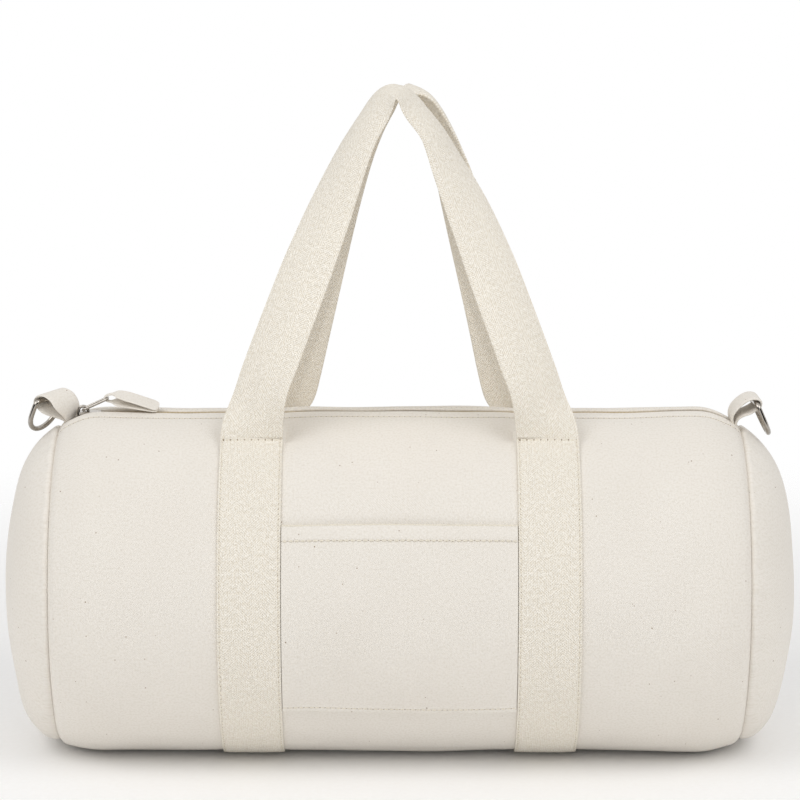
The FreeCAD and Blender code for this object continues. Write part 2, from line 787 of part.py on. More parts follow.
# Ring tabs, trimmed where they enter the end seams, and the D-rings that hang in them.
ringSides = {
    "left": (-1, "-tab_left_turn", "tab_rise", "180 - ring_hang"),
    "right": (1, "tab_right_turn", "180 - tab_rise", "ring_hang"),
}
for hand, (way, turn, lean, hang) in ringSides.items():
    yaw = about(aboutZ, turn)
    barX = f"{way} * (tab_base_x + tab_length * cos(tab_rise) * cos({turn}))"
    barY = f"{way} * tab_length * cos(tab_rise) * sin({turn})"
    barZ = "tab_base_height + tab_length * sin(tab_rise)"
    strip = folded_strip(
        f"ring_strip_{hand}",
        spot(barX, barY, barZ, f"{yaw} * " + about(aboutY, lean)),
        "tab_eye",
        "tab_leaf",
        "tab_length + tab_trim",
        "tab_open_length",
        "tab_width",
    )
    beyond = ("-bulge_reach", "-half_length") if way < 0 else ("half_length", "bulge_reach")
    endForm = roller(f"ring_trim_{hand}", *beyond, "seam_radius")
    pieces.append(cut(f"ring_tab_{hand}", strip, barrelOutside, endForm))
    pieces.append(
        wire_loop(
            f"d_ring_{hand}",
            spot(barX, barY, barZ, f"{yaw} * " + about(aboutY, hang)),
            "ring_half",
            "ring_length",
            "ring_wire",
            True,
        )
    )

doc.recompute()
for thing in doc.Objects:
    if "Invalid" in thing.State or "Error" in thing.State:
        raise SystemExit(f"{thing.Label} failed: {thing.State}")
for piece in pieces:
    if piece.Shape.isNull() or not piece.Shape.isValid():
        raise SystemExit(f"{piece.Label} has no sound shape")

os.makedirs("parts", exist_ok=True)
for piece in pieces:
    piece.Shape.exportStep(f"parts/{piece.Label}.step")
    print(f"{piece.Label}: {len(piece.Shape.Solids)} solids, {piece.Shape.Volume / 1000:.3f} cm3")
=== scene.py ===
import math
import bpy
import numpy as np
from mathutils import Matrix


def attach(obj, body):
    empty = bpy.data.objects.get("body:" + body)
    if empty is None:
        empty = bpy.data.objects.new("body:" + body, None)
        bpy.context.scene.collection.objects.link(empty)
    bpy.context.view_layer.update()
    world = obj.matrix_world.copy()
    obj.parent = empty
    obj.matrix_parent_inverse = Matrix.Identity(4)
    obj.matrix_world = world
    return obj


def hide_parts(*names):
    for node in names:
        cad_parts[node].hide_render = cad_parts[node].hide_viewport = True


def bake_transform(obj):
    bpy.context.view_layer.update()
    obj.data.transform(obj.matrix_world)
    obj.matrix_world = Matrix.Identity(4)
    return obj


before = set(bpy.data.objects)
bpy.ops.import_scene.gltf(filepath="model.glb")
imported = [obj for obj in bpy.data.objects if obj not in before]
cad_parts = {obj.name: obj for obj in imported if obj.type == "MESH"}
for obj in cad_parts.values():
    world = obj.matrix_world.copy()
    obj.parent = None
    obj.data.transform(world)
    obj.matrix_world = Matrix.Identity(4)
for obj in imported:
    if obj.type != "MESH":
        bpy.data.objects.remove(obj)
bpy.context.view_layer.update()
scene = bpy.context.scene
mm = 0.001
fullTurn = 2 * math.pi
print("frame: loaded", len(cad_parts), "nodes")


# Finishes
def linear(hexColour):
    parts = [int(hexColour[i:i + 2], 16) / 255 for i in (1, 3, 5)]
    return (*[c / 12.92 if c <= 0.04045 else ((c + 0.055) / 1.055) ** 2.4 for c in parts], 1)


def setInputs(tree, node, inputs):
    for socket, given in inputs.items():
        if isinstance(given, bpy.types.NodeSocket):
            tree.links.new(given, node.inputs[socket])
        else:
            node.inputs[socket].default_value = given


def addNode(tree, kind, inputs=None, **settings):
    made = tree.nodes.new("ShaderNode" + kind)
    for name, setting in settings.items():
        setattr(made, name, setting)
    setInputs(tree, made, inputs or {})
    return made


def worked(tree, operation, *values):
    return addNode(tree, "Math", dict(enumerate(values)), operation=operation).outputs[0]


def wave(tree, value, length):
    return worked(tree, "SINE", worked(tree, "MULTIPLY", value, fullTurn / (length * mm)))


def ranged(tree, value, low=0.0, high=1.0, first=0.0, last=1.0, **settings):
    inputs = {"Value": value, 1: low, 2: high, 3: first, 4: last}
    return addNode(tree, "MapRange", inputs, **settings).outputs[0]


def noise(tree, place, size, detail=2.0, roughness=0.5):
    inputs = {"Vector": place, "Scale": 1 / (size * mm), "Detail": detail, "Roughness": roughness}
    return addNode(tree, "TexNoise", inputs).outputs["Fac"]


def tinted(tree, share, first, second):
    start = linear(first) if isinstance(first, str) else first
    inputs = {"Factor": share, "A": start, "B": linear(second)}
    return addNode(tree, "Mix", inputs, data_type="RGBA").outputs["Result"]


def newFinish(name):
    finish = bpy.data.materials.new(name)
    finish.use_nodes = True
    return finish, finish.node_tree, finish.node_tree.nodes["Principled BSDF"]


def clothPlace(tree):
    place = addNode(tree, "UVMap", uv_map="UVMap").outputs["UV"]
    return place, addNode(tree, "SeparateXYZ", {"Vector": place}).outputs


def coated(tree, shader, colour, height, look):
    bump = addNode(tree, "Bump", {"Height": height, "Strength": look["bump"], "Distance": look["relief"] * mm})
    setInputs(tree, shader, {"Base Color": colour, "Normal": bump.outputs["Normal"], **look["surface"]})


# cotton canvas, plain woven and unbleached: matt, crossed threads, slubs and a few seed flecks
canvasLook = {
    "warm": "#EFEAE2",
    "cool": "#E8E2D9",
    "shadeOfGrain": "#D9D1C3",
    "fleck": "#86684A",
    "threadSpacing": 0.9,  # mm, twice the real 0.45 so that the weave shows
    "wanderSize": 9.0,
    "wander": 1.2,
    "slubLength": 1.7,
    "slubHeight": 1.3,
    "slubRoughness": 0.6,
    "grain": (0.42, 0.72, 0.0, 0.42),
    "cloudSize": 70.0,
    "fleckSpacing": 10.0,
    "fleckSize": 0.6,
    "fleckChance": (0.1, 0.75),
    "bump": 0.25,
    "relief": 0.22,
    "surface": {"Roughness": 0.93, "Specular IOR Level": 0.2, "Sheen Weight": 0.12, "Sheen Roughness": 0.6},
}


def cottonCanvas():
    look = canvasLook
    finish, tree, shader = newFinish("cotton_canvas")
    place, axes = clothPlace(tree)
    wander = noise(tree, place, look["wanderSize"], 1.0)
    bent = [worked(tree, "MULTIPLY_ADD", wander, look["wander"] * mm, axes[axis]) for axis in ("X", "Y")]
    weave = worked(tree, "MULTIPLY", *[wave(tree, line, 2 * look["threadSpacing"]) for line in bent])
    slubs = noise(tree, place, look["slubLength"], 1.0, look["slubRoughness"])
    tint = tinted(tree, noise(tree, place, look["cloudSize"]), look["warm"], look["cool"])
    grained = tinted(tree, ranged(tree, slubs, *look["grain"]), tint, look["shadeOfGrain"])
    cells = addNode(tree, "TexVoronoi", {"Vector": place, "Scale": 1 / (look["fleckSpacing"] * mm)}).outputs
    size = look["fleckSize"] / look["fleckSpacing"]
    near = ranged(tree, cells["Distance"], size, size * 0.5)
    lot = addNode(tree, "SeparateColor", {"Color": cells["Color"]}).outputs["Red"]
    fleck = worked(tree, "MULTIPLY", near, ranged(tree, lot, *look["fleckChance"]))
    height = worked(tree, "MULTIPLY_ADD", slubs, look["slubHeight"], weave)
    coated(tree, shader, tinted(tree, fleck, grained, look["fleck"]), height, look)
    return finish


# cotton webbing, woven in herringbone: thicker and yellower than the canvas, with slanting ribs
webbingLook = {
    "light": "#F9F4EA",
    "dark": "#DED3BF",
    "ribPitch": 2.0,  # mm, a little over the real 1.5 so that the ribs show
    "chevronWidth": 9.0,
    "wanderSize": 5.0,
    "wander": 1.8,
    "warpSpacing": 1.3,
    "warpHeight": 0.45,
    "slubWidth": 1.3,
    "slubDraw": 0.5,  # slubs twice as long as wide
    "slubHeight": 6.0,
    "grain": (4.2, 1.6, 0.0, 0.74),
    "bump": 0.5,
    "relief": 0.3,
    "surface": {"Roughness": 0.9, "Specular IOR Level": 0.2, "Sheen Weight": 0.12, "Sheen Roughness": 0.6},
}


def cottonWebbing():
    look = webbingLook
    finish, tree, shader = newFinish("herringbone_cotton_webbing")
    place, axes = clothPlace(tree)
    zigzag = worked(tree, "PINGPONG", axes["X"], look["chevronWidth"] * mm)
    slant = worked(tree, "ADD", zigzag, axes["Y"])
    bent = worked(tree, "MULTIPLY_ADD", noise(tree, place, look["wanderSize"]), look["wander"] * mm, slant)
    warp = wave(tree, axes["X"], look["warpSpacing"])
    twill = worked(tree, "MULTIPLY_ADD", warp, look["warpHeight"], wave(tree, bent, look["ribPitch"]))
    drawn = addNode(tree, "VectorMath", {0: place, 1: (1.0, look["slubDraw"], 1.0)}, operation="MULTIPLY")
    slubs = noise(tree, drawn.outputs[0], look["slubWidth"], 1.0)
    rough = worked(tree, "MULTIPLY_ADD", slubs, look["slubHeight"], twill)
    colour = tinted(tree, ranged(tree, rough, *look["grain"]), look["light"], look["dark"])
    coated(tree, shader, colour, rough, look)
    return finish


# spun cotton, as thread, zip tape and seam binding: matt and finely ribbed along its length
cottonLook = {
    "fluffSize": 1.5,
    "fluffHeight": 2.0,
    "grain": (2.0, 0.0, 0.0, 0.7),
    "bump": 0.4,
    "relief": 0.1,
    "surface": {"Roughness": 0.88, "Specular IOR Level": 0.25},
}


def spunCotton(name, light, dark, ribSpacing):
    look = cottonLook
    finish, tree, shader = newFinish(name)
    place, axes = clothPlace(tree)
    ribs = wave(tree, worked(tree, "ADD", axes["X"], axes["Y"]), ribSpacing)
    rough = worked(tree, "MULTIPLY_ADD", noise(tree, place, look["fluffSize"]), look["fluffHeight"], ribs)
    coated(tree, shader, tinted(tree, ranged(tree, rough, *look["grain"]), light, dark), rough, look)
    return finish


# nickel plate, polished: mirror bright with hairline rubbing marks that soften it a little
nickelLook = {"metal": "#BDB8B1", "worn": "#9C958C", "rubSize": 3.0, "roughness": (0.35, 0.75, 0.06, 0.18)}


def nickelPlate():
    look = nickelLook
    finish, tree, shader = newFinish("polished_nickel_plate")
    rubs = noise(tree, addNode(tree, "TexCoord").outputs["Object"], look["rubSize"], 4.0)
    colour = tinted(tree, rubs, look["metal"], look["worn"])
    rough = ranged(tree, rubs, *look["roughness"])
    setInputs(tree, shader, {"Base Color": colour, "Roughness": rough, "Metallic": 1.0})
    return finish


# moulded nylon, the zip's teeth: tan, mottled and faintly waxy
nylonLook = {
    "light": "#CDBB98",
    "dark": "#A48F6B",
    "mottle": 1.6,
    "bump": 0.2,
    "relief": 0.05,
    "surface": {"Roughness": 0.45, "IOR": 1.53},
}


def mouldedNylon():
    look = nylonLook
    finish, tree, shader = newFinish("moulded_nylon")
    mottle = noise(tree, addNode(tree, "TexCoord").outputs["Object"], look["mottle"])
    coated(tree, shader, tinted(tree, mottle, look["light"], look["dark"]), mottle, look)
    return finish


canvas = cottonCanvas()
webbing = cottonWebbing()
thread = spunCotton("cotton_thread", "#F4EEE0", "#D6CBB6", 0.7)
# painted shade: a dark finish for the needle holes, standing for the shade down in the cloth
paintedHoleShade = spunCotton("painted_needle_hole_shade", "#A3917A", "#85735A", 0.7)  # the shade down in the cloth
zipTape = spunCotton("cotton_zip_tape", "#D9CDB4", "#BDAF92", 1.1)
bindingTape = spunCotton("cotton_binding_tape", "#E9E1D0", "#D3C8B2", 1.0)
nickel = nickelPlate()
nylon = mouldedNylon()
print("finishes: made")


# Mesh tools: sheets, ribbons, tubes and threads, all in millimetres until a piece is made.
def ease(share):
    share = np.clip(share, 0, 1)
    return share * share * (3 - 2 * share)


def bell(distance, width):
    return np.exp(-((distance / width) ** 2))


# From nearly 0 at an edge to 1 at the radius of its rounding.
def roundedEdge(distance, radius):
    return np.sqrt(np.clip(1 - (1 - np.clip(distance / radius, 0, 1)) ** 2, 0.004, 1))


def unit(vectors):
    return vectors / np.maximum(np.linalg.norm(vectors, axis=-1, keepdims=True), 1e-9)


def around(count):
    return np.linspace(0, fullTurn, count, endpoint=False)


def runAlong(points):
    return np.cumsum(np.r_[0, np.linalg.norm(np.diff(points, axis=0), axis=1)])


def valuesAt(spots, run, values):
    return np.stack([np.interp(spots, run, column) for column in values.T], -1)


def spaced(first, last, step, *also):
    count = max(int(round(abs(last - first) / step)), 1)
    within = [v for v in also if min(first, last) < v < max(first, last)]
    return np.unique(np.round(np.r_[np.linspace(first, last, count + 1), within], 4))


# A smooth line near a few given points, evenly divided.
def softened(points, step=0.8):
    points = np.array(points, float)
    for _ in range(4):
        near, far = points[:-1], points[1:]
        cut = np.stack([near * 0.75 + far * 0.25, near * 0.25 + far * 0.75], 1).reshape(-1, points.shape[1])
        points = np.vstack([points[:1], cut, points[-1:]])
    run = runAlong(points)
    spots = spaced(0, run[-1], step)
    return valuesAt(spots, run, points), spots


def uvGrid(rows, columns):
    return np.stack(np.broadcast_arrays(rows[:, None], columns[None]), -1)


def gridPart(points, uv, material=0, closed=False):
    rows, columns = points.shape[:2]
    index = np.arange(rows * columns).reshape(rows, columns)
    if closed:
        index = np.hstack([index, index[:, :1]])
    corners = [index[:-1, :-1], index[1:, :-1], index[1:, 1:], index[:-1, 1:]]
    faces = np.stack(corners, -1).reshape(-1, 4)
    return {"points": points.reshape(-1, 3), "uv": uv.reshape(-1, 2), "faces": faces, "material": material}


# A sheet with thickness: outside and inside grids, joined along the named borders.
def shellPart(outside, inside, uv, borders=("start", "end", "low", "high"), closed=False):
    front, back = [gridPart(points, uv, closed=closed) for points in (outside, inside)]
    rows, columns = outside.shape[:2]
    count = rows * columns
    index = np.arange(count).reshape(rows, columns)
    lines = {"start": index[0, ::-1], "end": index[-1], "low": index[:, 0], "high": index[::-1, -1]}
    faces = [front["faces"], back["faces"][:, ::-1] + count]
    for border in borders:
        line = lines[border]
        if closed:
            line = np.append(line, line[0])
        faces.append(np.stack([line[1:], line[:-1], line[:-1] + count, line[1:] + count], -1))
    joined = {key: np.vstack([front[key], back[key]]) for key in ("points", "uv")}
    return {**joined, "faces": np.vstack(faces), "material": 0}


# A round wire along a line of points, closed to a ring or capped at both ends.
def tubePart(line, radius, sides, closed=False, material=0):
    ahead = np.roll(line, -1, 0) - np.roll(line, 1, 0)
    if not closed:
        ahead[0], ahead[-1] = line[1] - line[0], line[-1] - line[-2]
    ahead = unit(ahead)
    side = np.cross(ahead[0], (0.31, 0.12, 0.94))
    carried = []
    for direction in ahead:
        side = unit(side - direction * (side @ direction))
        carried.append(side)
    side = np.array(carried)
    up = np.cross(ahead, side)
    turn = around(sides)
    ring = side[:, None] * np.cos(turn)[None, :, None] + up[:, None] * np.sin(turn)[None, :, None]
    points = line[:, None] + ring * radius
    part = gridPart(points, uvGrid(runAlong(line), turn * radius), material, closed=True)
    last = (len(line) - 1) * sides
    ring0 = np.arange(sides)
    if closed:
        offset = int(np.argmin(np.linalg.norm(points[-1] - points[0, 0], axis=1)))
        ring1 = last + (ring0 + offset) % sides
        bridge = np.stack([ring1, ring0, np.roll(ring0, -1), np.roll(ring1, -1)], -1)
        part["faces"] = np.vstack([part["faces"], bridge])
    else:
        part["caps"] = [ring0.tolist(), (ring0[::-1] + last).tolist()]
    return part


# Copies of one small tube, each with the same rings of points capped.
def copiesPart(points, uv, rings, material=0):
    count, rows, sides = points.shape[:3]
    each = np.arange(count) * rows * sides
    faces = gridPart(points[0], uv, closed=True)["faces"]
    return {
        "points": points.reshape(-1, 3),
        "uv": np.tile(uv.reshape(-1, 2), (count, 1)),
        "faces": (faces[None] + each[:, None, None]).reshape(-1, 4),
        "caps": np.vstack([each[:, None] + ring for ring in rings]).tolist(),
        "material": material,
    }


# Threads along a seam: each stands proud in the middle and dips into the cloth at its ends.
threadForm = {"rows": 7, "sides": 8, "taper": 0.97, "tip": 0.02, "flatness": 0.8}
# the needle's holes between them, shorter and a little deeper, drawn in a dark finish that paints the shade
# inside them
holeForm = {"length": 1.1, "dip": 0.1, "sunk": 0.1}


def stitchPart(line, outward, stitch, material, start):
    run = runAlong(line)
    count = max(int(run[-1] // stitch["pitch"]), 1)
    spots = (np.arange(count) + start) * run[-1] / count
    half, width = stitch["length"] / 2, stitch["width"] / 2
    middle, up = valuesAt(spots, run, line), unit(valuesAt(spots, run, unit(outward)))
    near, far = np.maximum(spots - half, 0), np.minimum(spots + half, run[-1])
    ahead = unit(valuesAt(far, run, line) - valuesAt(near, run, line))
    side = unit(np.cross(up, ahead))
    rows, sides = threadForm["rows"], threadForm["sides"]
    steps, turn = np.linspace(-1, 1, rows), around(sides)
    swell = np.sqrt(np.maximum(1 - (threadForm["taper"] * steps) ** 4, threadForm["tip"]))[:, None]
    along = (steps * half)[:, None]
    across = width * swell * np.cos(turn)
    above = width * threadForm["flatness"] * swell * np.sin(turn)
    above = above + stitch["rise"] - stitch["dip"] * steps[:, None] ** 2
    points = middle[:, None, None]
    for direction, offset in ((ahead, along), (side, across), (up, above)):
        points = points + direction[:, None, None] * offset[None, :, :, None]
    ring = np.arange(sides)
    rings = (ring, (rows - 1) * sides + ring[::-1])
    return copiesPart(points, uvGrid(steps * half, turn * width), rings, material)


# A row of threads with the needle's holes between them, the holes as dark pits of painted shade.
def sewnRow(line, outward, stitch, material=1):
    hole = {**stitch, **holeForm, "width": stitch["hole"], "rise": stitch["rise"] - holeForm["sunk"]}
    threads = stitchPart(line, outward, stitch, material, start=0.5)
    return [threads, stitchPart(line, outward, hole, material + 1, start=0.0)]


sharpFrom = math.radians(40)


# A piece that stands for CAD nodes, and rides on a body when one is given.
def makePiece(name, parts, finishes, nodes, body=None):
    faces, kinds, count = [], [], 0
    for part in parts:
        own = part["faces"].tolist() + part.get("caps", [])
        faces += [[corner + count for corner in face] for face in own]
        kinds += [part["material"]] * len(own)
        count += len(part["points"])
    points, uv = [np.vstack([part[key] for part in parts]) * mm for key in ("points", "uv")]
    mesh = bpy.data.meshes.new(name)
    mesh.from_pydata(points.tolist(), [], faces)
    mesh.polygons.foreach_set("material_index", kinds)
    corners = np.zeros(len(mesh.loops), np.int32)
    mesh.loops.foreach_get("vertex_index", corners)
    mesh.uv_layers.new(name="UVMap").data.foreach_set("uv", uv[corners].ravel())
    for finish in finishes:
        mesh.materials.append(finish)
    mesh.shade_smooth()
    mesh.set_sharp_from_angle(angle=sharpFrom)
    mesh.update()
    piece = bpy.data.objects.new(name, mesh)
    scene.collection.objects.link(piece)
    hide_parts(*nodes)
    if body:
        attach(piece, body)
    return piece


# Barrel: the soft skin that all the canvas on it shares. Angles start at the top and grow to the front.
barrel = {
    "radius": 126.5,
    "axis": 122.6,
    "half": 250.0,
    "shoulder": 34.0,
    "drop": 11.0,
    "rollLength": 6.0,
    "rollDepth": 3.0,
    "rollCurve": 2.5,
    "cloth": 1.2,
    "floorUnderStraps": 2.1,
    "floorBetween": 0.7,
    "floorSoft": 1.6,
    "strapReach": (80.0, 128.0),
    "strapEdge": 5.0,
    "settle": 0.5,
    "settleFrom": 0.5,
    "crease": math.radians(49.0),
    "pillow": 1.0,
    "dimple": {"deep": 3.0, "above": 8.0, "long": 15.0, "aside": 3.0, "inner": 17.0, "outer": 15.0},
    "behindPocket": {"at": math.radians(57.0), "deep": 1.2, "long": 4.0, "reach": 86.0, "edge": 6.0},
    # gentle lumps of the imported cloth: length, direction, phase, height
    "lumps": (
        (150, (1.0, 0.3, 0.5), 0.4, 0.55),
        (110, (0.5, -0.2, 1.0), 2.1, 0.45),
        (74, (-0.8, 0.7, 0.6), 4.0, 0.28),
        (47, (0.9, 0.4, -0.7), 1.3, 0.14),
    ),
    "lumpsUnderStraps": 0.25,
    "lumpsRise": 1.6,
    "seamFade": 26.0,
}
strap = {"x": 106.7, "width": 45.0, "thick": 2.0, "lift": 0.1}
mouth = {"half": 172.0, "blendTo": 131.0, "zipHalf": 5.0}
stitchAngle = {"front": math.radians(23.0), "rear": math.radians(38.0)}
way = {"front": 1, "rear": -1}
hands = {"left": -1, "right": 1}


def lumps(points):
    total = 0
    for length, direction, phase, height in barrel["lumps"]:
        heading = np.array(direction) / np.linalg.norm(direction)
        total = total + height * np.sin(points @ heading * (fullTurn / length) + phase)
    return total


def softness(x, angle, points):
    fromMiddle = np.abs(x)
    inner, outer = strap["x"] - strap["width"] / 2, strap["x"] + strap["width"] / 2
    between = np.clip(fromMiddle / inner, 0, 1)
    beyond = np.clip((fromMiddle - outer) / (barrel["half"] - outer), 0, 1)
    outside = np.where(fromMiddle > outer, np.sin(math.pi * beyond), 0)
    free = np.where(fromMiddle < inner, 1 - between**4, outside)
    least = barrel["lumpsUnderStraps"]
    loose = least + (1 - least) * np.clip(free * barrel["lumpsRise"], 0, 1)
    soft = barrel["pillow"] * free + lumps(points) * loose
    # the handles draw the cloth up at their feet and leave a hollow on each side
    dimple = barrel["dimple"]
    for side in way:
        down = (angle - way[side] * stitchAngle[side]) * barrel["radius"] * way[side]
        hollow = dimple["deep"] * bell(down + dimple["above"], dimple["long"])
        for edge, spread in ((inner - dimple["aside"], "inner"), (outer + dimple["aside"], "outer")):
            soft = soft - hollow * bell(fromMiddle - edge, dimple[spread]) * (free > 0)
    # and it lies back a little behind the pocket's open edge
    back = barrel["behindPocket"]
    below = (angle - back["at"]) * barrel["radius"]
    return soft - back["deep"] * bell(below, back["long"]) * ease((back["reach"] - fromMiddle) / back["edge"])


# How far the cloth settles towards the floor at the bottom of the end seams, from 0 to 1.
def settled(angle):
    return ease((-np.cos(angle) - barrel["settleFrom"]) / (1 - barrel["settleFrom"]))


def skin(x, angle, lift=0.0, soft=1.0):
    x, angle, lift = np.broadcast_arrays(*[np.asarray(given, float) for given in (x, angle, lift)])
    fromMiddle = np.abs(x)
    toSeam = fromMiddle - barrel["half"]
    past = np.clip(toSeam + barrel["shoulder"], 0, barrel["shoulder"])
    bend = (barrel["shoulder"] ** 2 + barrel["drop"] ** 2) / (2 * barrel["drop"])
    radius = barrel["radius"] - (bend - np.sqrt(bend**2 - past**2)) * (1 - barrel["settle"] * settled(angle))
    roll = np.clip((toSeam + barrel["rollLength"]) / barrel["rollLength"], 0, 1)
    radius = radius - barrel["rollDepth"] * roll ** barrel["rollCurve"]
    outward = np.stack([np.zeros_like(x), -np.sin(angle), np.cos(angle)], -1)
    centre = np.stack([x, np.zeros_like(x), np.full_like(x, barrel["axis"])], -1)
    fade = 1 - ease((toSeam + barrel["seamFade"]) / barrel["seamFade"])
    give = softness(x, angle, centre + outward * radius[..., None])
    points = centre + outward * (radius + give * fade * soft + lift)[..., None]
    # where it stands, the cloth spreads on the floor, a little higher under the straps
    first, last = [ease((fromMiddle - reach) / barrel["strapEdge"]) for reach in barrel["strapReach"]]
    raised = (barrel["floorUnderStraps"] - barrel["floorBetween"]) * first * (1 - last)
    floor = barrel["floorBetween"] + raised + lift
    soften = barrel["floorSoft"]
    points[..., 2] = floor + soften * np.logaddexp(0, (points[..., 2] - floor) / soften)
    return points


def skinNormal(x, angle, step=0.6):
    turn = step / barrel["radius"]
    acrossX = skin(x + step, angle) - skin(x - step, angle)
    roundIt = skin(x, angle + turn) - skin(x, angle - turn)
    return unit(np.cross(roundIt, acrossX))


canvasStitch = {"pitch": 3.8, "length": 2.8, "width": 0.8, "rise": 0.15, "dip": 0.45, "hole": 0.34}

# The cloth beside the zip: a folded edge with a row of stitches, down to the crease.
zipFold = {
    "allowance": 13.0,
    "fold": 1.15,
    "foldPast": 3.0,
    "foldFade": 4.0,
    "lipGap": 0.06,
    "proud": 0.8,
    "proudReach": 5.0,
    "stitchAt": 9.5,
    "stitchSunk": 0.25,
    "groove": 0.5,
    "grooveWidth": 1.1,
    "fineTo": 16.0,
}
creaseRun = barrel["radius"] * barrel["crease"] - mouth["zipHalf"]
# rows of points along the barrel, and closer ones where the cloth rolls into the end seams
rowStep = 2.5
seamRows = np.r_[-249.4:-240:0.8, 240.6:250:0.8]


# The rear's sheets run the other way round, so that they too face outwards.
def sidedShell(side, outside, inside, uv):
    order = slice(None, None, way[side])
    return shellPart(outside[order], inside[order], uv[order])


def topStrip(side, first, last):
    fold, fine = zipFold["fold"], zipFold["fineTo"]
    down = np.r_[spaced(0, fine, 0.8), spaced(fine, creaseRun, 2.6)[1:]][::-1]
    proud = zipFold["proud"] * bell(down, zipFold["proudReach"])
    lift = proud - zipFold["groove"] * bell(down - zipFold["stitchAt"], zipFold["grooveWidth"])
    doubled = ease((zipFold["allowance"] + zipFold["foldPast"] - down) / zipFold["foldFade"])
    depth = barrel["cloth"] + (2 * fold - barrel["cloth"]) * doubled - proud
    bend = np.linspace(0, math.pi / 2, 5)[1:]
    run = np.r_[down, -fold * np.sin(bend)]
    turned = fold * (1 - np.cos(bend))
    outLift = np.r_[lift, lift[-1] - turned]
    inLift = np.r_[-depth, turned - depth[-1]]
    inLift[-1] = outLift[-1] - zipFold["lipGap"]
    ends = spaced(first, last, rowStep, *seamRows)
    across = way[side] * (run + mouth["zipHalf"])
    sheets = [skin(ends[:, None], across[None] / barrel["radius"], rise[None]) for rise in (outLift, inLift)]
    cloth = sidedShell(side, *sheets, uvGrid(ends, across))
    line = spaced(first, last, rowStep)
    angle = way[side] * (zipFold["stitchAt"] + mouth["zipHalf"]) / barrel["radius"]
    seam = skin(line, angle, -zipFold["stitchSunk"])
    return [cloth, *sewnRow(seam, skinNormal(line, angle), canvasStitch)]


def lowerWrap():
    ends = spaced(-barrel["half"], barrel["half"], rowStep, *seamRows)
    angles = np.linspace(barrel["crease"], fullTurn - barrel["crease"], 230)
    outside = skin(ends[:, None], angles[None])
    inside = outside - skinNormal(ends[:, None], angles[None]) * barrel["cloth"]
    return shellPart(outside, inside, uvGrid(ends, angles * barrel["radius"]))


parts = [lowerWrap()]
for side in way:
    for first, last in ((-barrel["half"], -mouth["half"]), (mouth["half"], barrel["half"])):
        parts += topStrip(side, first, last)
sewnCanvas = (canvas, thread, paintedHoleShade)
mainCanvas = makePiece("main_canvas", parts, sewnCanvas, ["main_panel"], "bag")


# Cloth and zip at the mouth, with their placing baked into their meshes.
def foldWithWall(piece):
    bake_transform(piece)


for side in way:
    for hand, sign in hands.items():
        strips = topStrip(side, *sorted((0.0, sign * mouth["half"])))
        wall = makePiece(f"{side}_mouth_cloth_{hand}", strips, sewnCanvas, [f"{side}_mouth_wall"])
        foldWithWall(wall)
print("barrel: canvas and mouth walls made")

# End panels: discs of canvas that swell out of their seams, a little gathered there.
endPanel = {
    "knuckle": 66.0,
    "slope": math.radians(30.0),
    "bulge": 41.0,
    "seamRadius": 115.5,
    "rollLength": 5.0,
    "rollDepth": 3.4,
    "rollCurve": 2.2,
    "gathers": ((23, 0.3, 0.5), (37, 1.1, 0.4), (58, 2.4, 0.25)),
    "gatherFrom": 6.0,
    "gatherReach": 17.0,
    "settleReach": 30.0,
    "lumpsFrom": 40.0,
    "lumpHeight": 1.3,
    "sag": 6.0,
    "sagAt": 106.0,
    "sagSpread": 22.0,
    "sagFrom": 8.0,
    "sagBelow": (0.3, 0.65),
    "cut": 270.0,
}


def endSheet(sign):
    size, knuckle = endPanel, endPanel["knuckle"]
    centreX = barrel["half"] - knuckle * math.sin(size["slope"])
    centreR = size["seamRadius"] - knuckle * math.cos(size["slope"])
    span = barrel["half"] + size["bulge"] - centreX
    dome = (span**2 + centreR**2 - knuckle**2) / (2 * (span - knuckle))
    domeX = barrel["half"] + size["bulge"] - dome
    join = math.atan2(centreR, centreX - domeX)
    first = math.pi / 2 - size["slope"]
    arc = np.linspace(first, first - 0.1, 9)
    arc = np.r_[arc, np.linspace(arc[-1], join, 22)[1:]]
    crown = np.linspace(join, 0.003, 22)[1:]
    x = np.r_[centreX + knuckle * np.cos(arc), domeX + dome * np.cos(crown)]
    r = np.r_[centreR + knuckle * np.sin(arc), dome * np.sin(crown)]
    tilt = np.r_[arc, crown]
    fromSeam = runAlong(np.stack([x, r], -1))
    turn = around(216)
    dip = size["rollDepth"] * np.clip(1 - fromSeam / size["rollLength"], 0, 1) ** size["rollCurve"]
    gather = sum(h * np.sin(n * turn + p + sign) for n, p, h in size["gathers"])
    taken = np.exp(-fromSeam / size["gatherReach"]) * ease(fromSeam / size["gatherFrom"])
    gather = gather[None] * taken[:, None]
    settle = barrel["settle"] * barrel["drop"] * np.exp(-fromSeam / size["settleReach"])
    settle = settle[:, None] * settled(turn)[None]
    sag = ease(fromSeam / size["sagFrom"]) * bell(r - size["sagAt"], size["sagSpread"])
    start, soft = size["sagBelow"]
    sag = size["sag"] * ease((-np.cos(turn) - start) / soft)[None] * sag[:, None]

    def sheet(lift):
        out = lift + gather
        xs = x[:, None] + np.cos(tilt)[:, None] * out
        rs = r[:, None] + np.sin(tilt)[:, None] * out - dip[:, None] + settle
        flat = np.stack([sign * xs, -rs * np.sin(turn), barrel["axis"] + rs * np.cos(turn)], -1)
        push = lumps(flat) * ease(fromSeam / size["lumpsFrom"])[:, None] * size["lumpHeight"] + sag
        flat[..., 0] += sign * push
        return flat if sign > 0 else flat[:, ::-1]

    outside = sheet(0.0)
    part = shellPart(outside, sheet(-barrel["cloth"]), outside[..., 1:], ("start",), closed=True)
    ring = (len(x) - 1) * len(turn) + np.arange(len(turn))
    part["caps"] = [ring[::-1].tolist(), (ring + len(x) * len(turn)).tolist()]
    return part


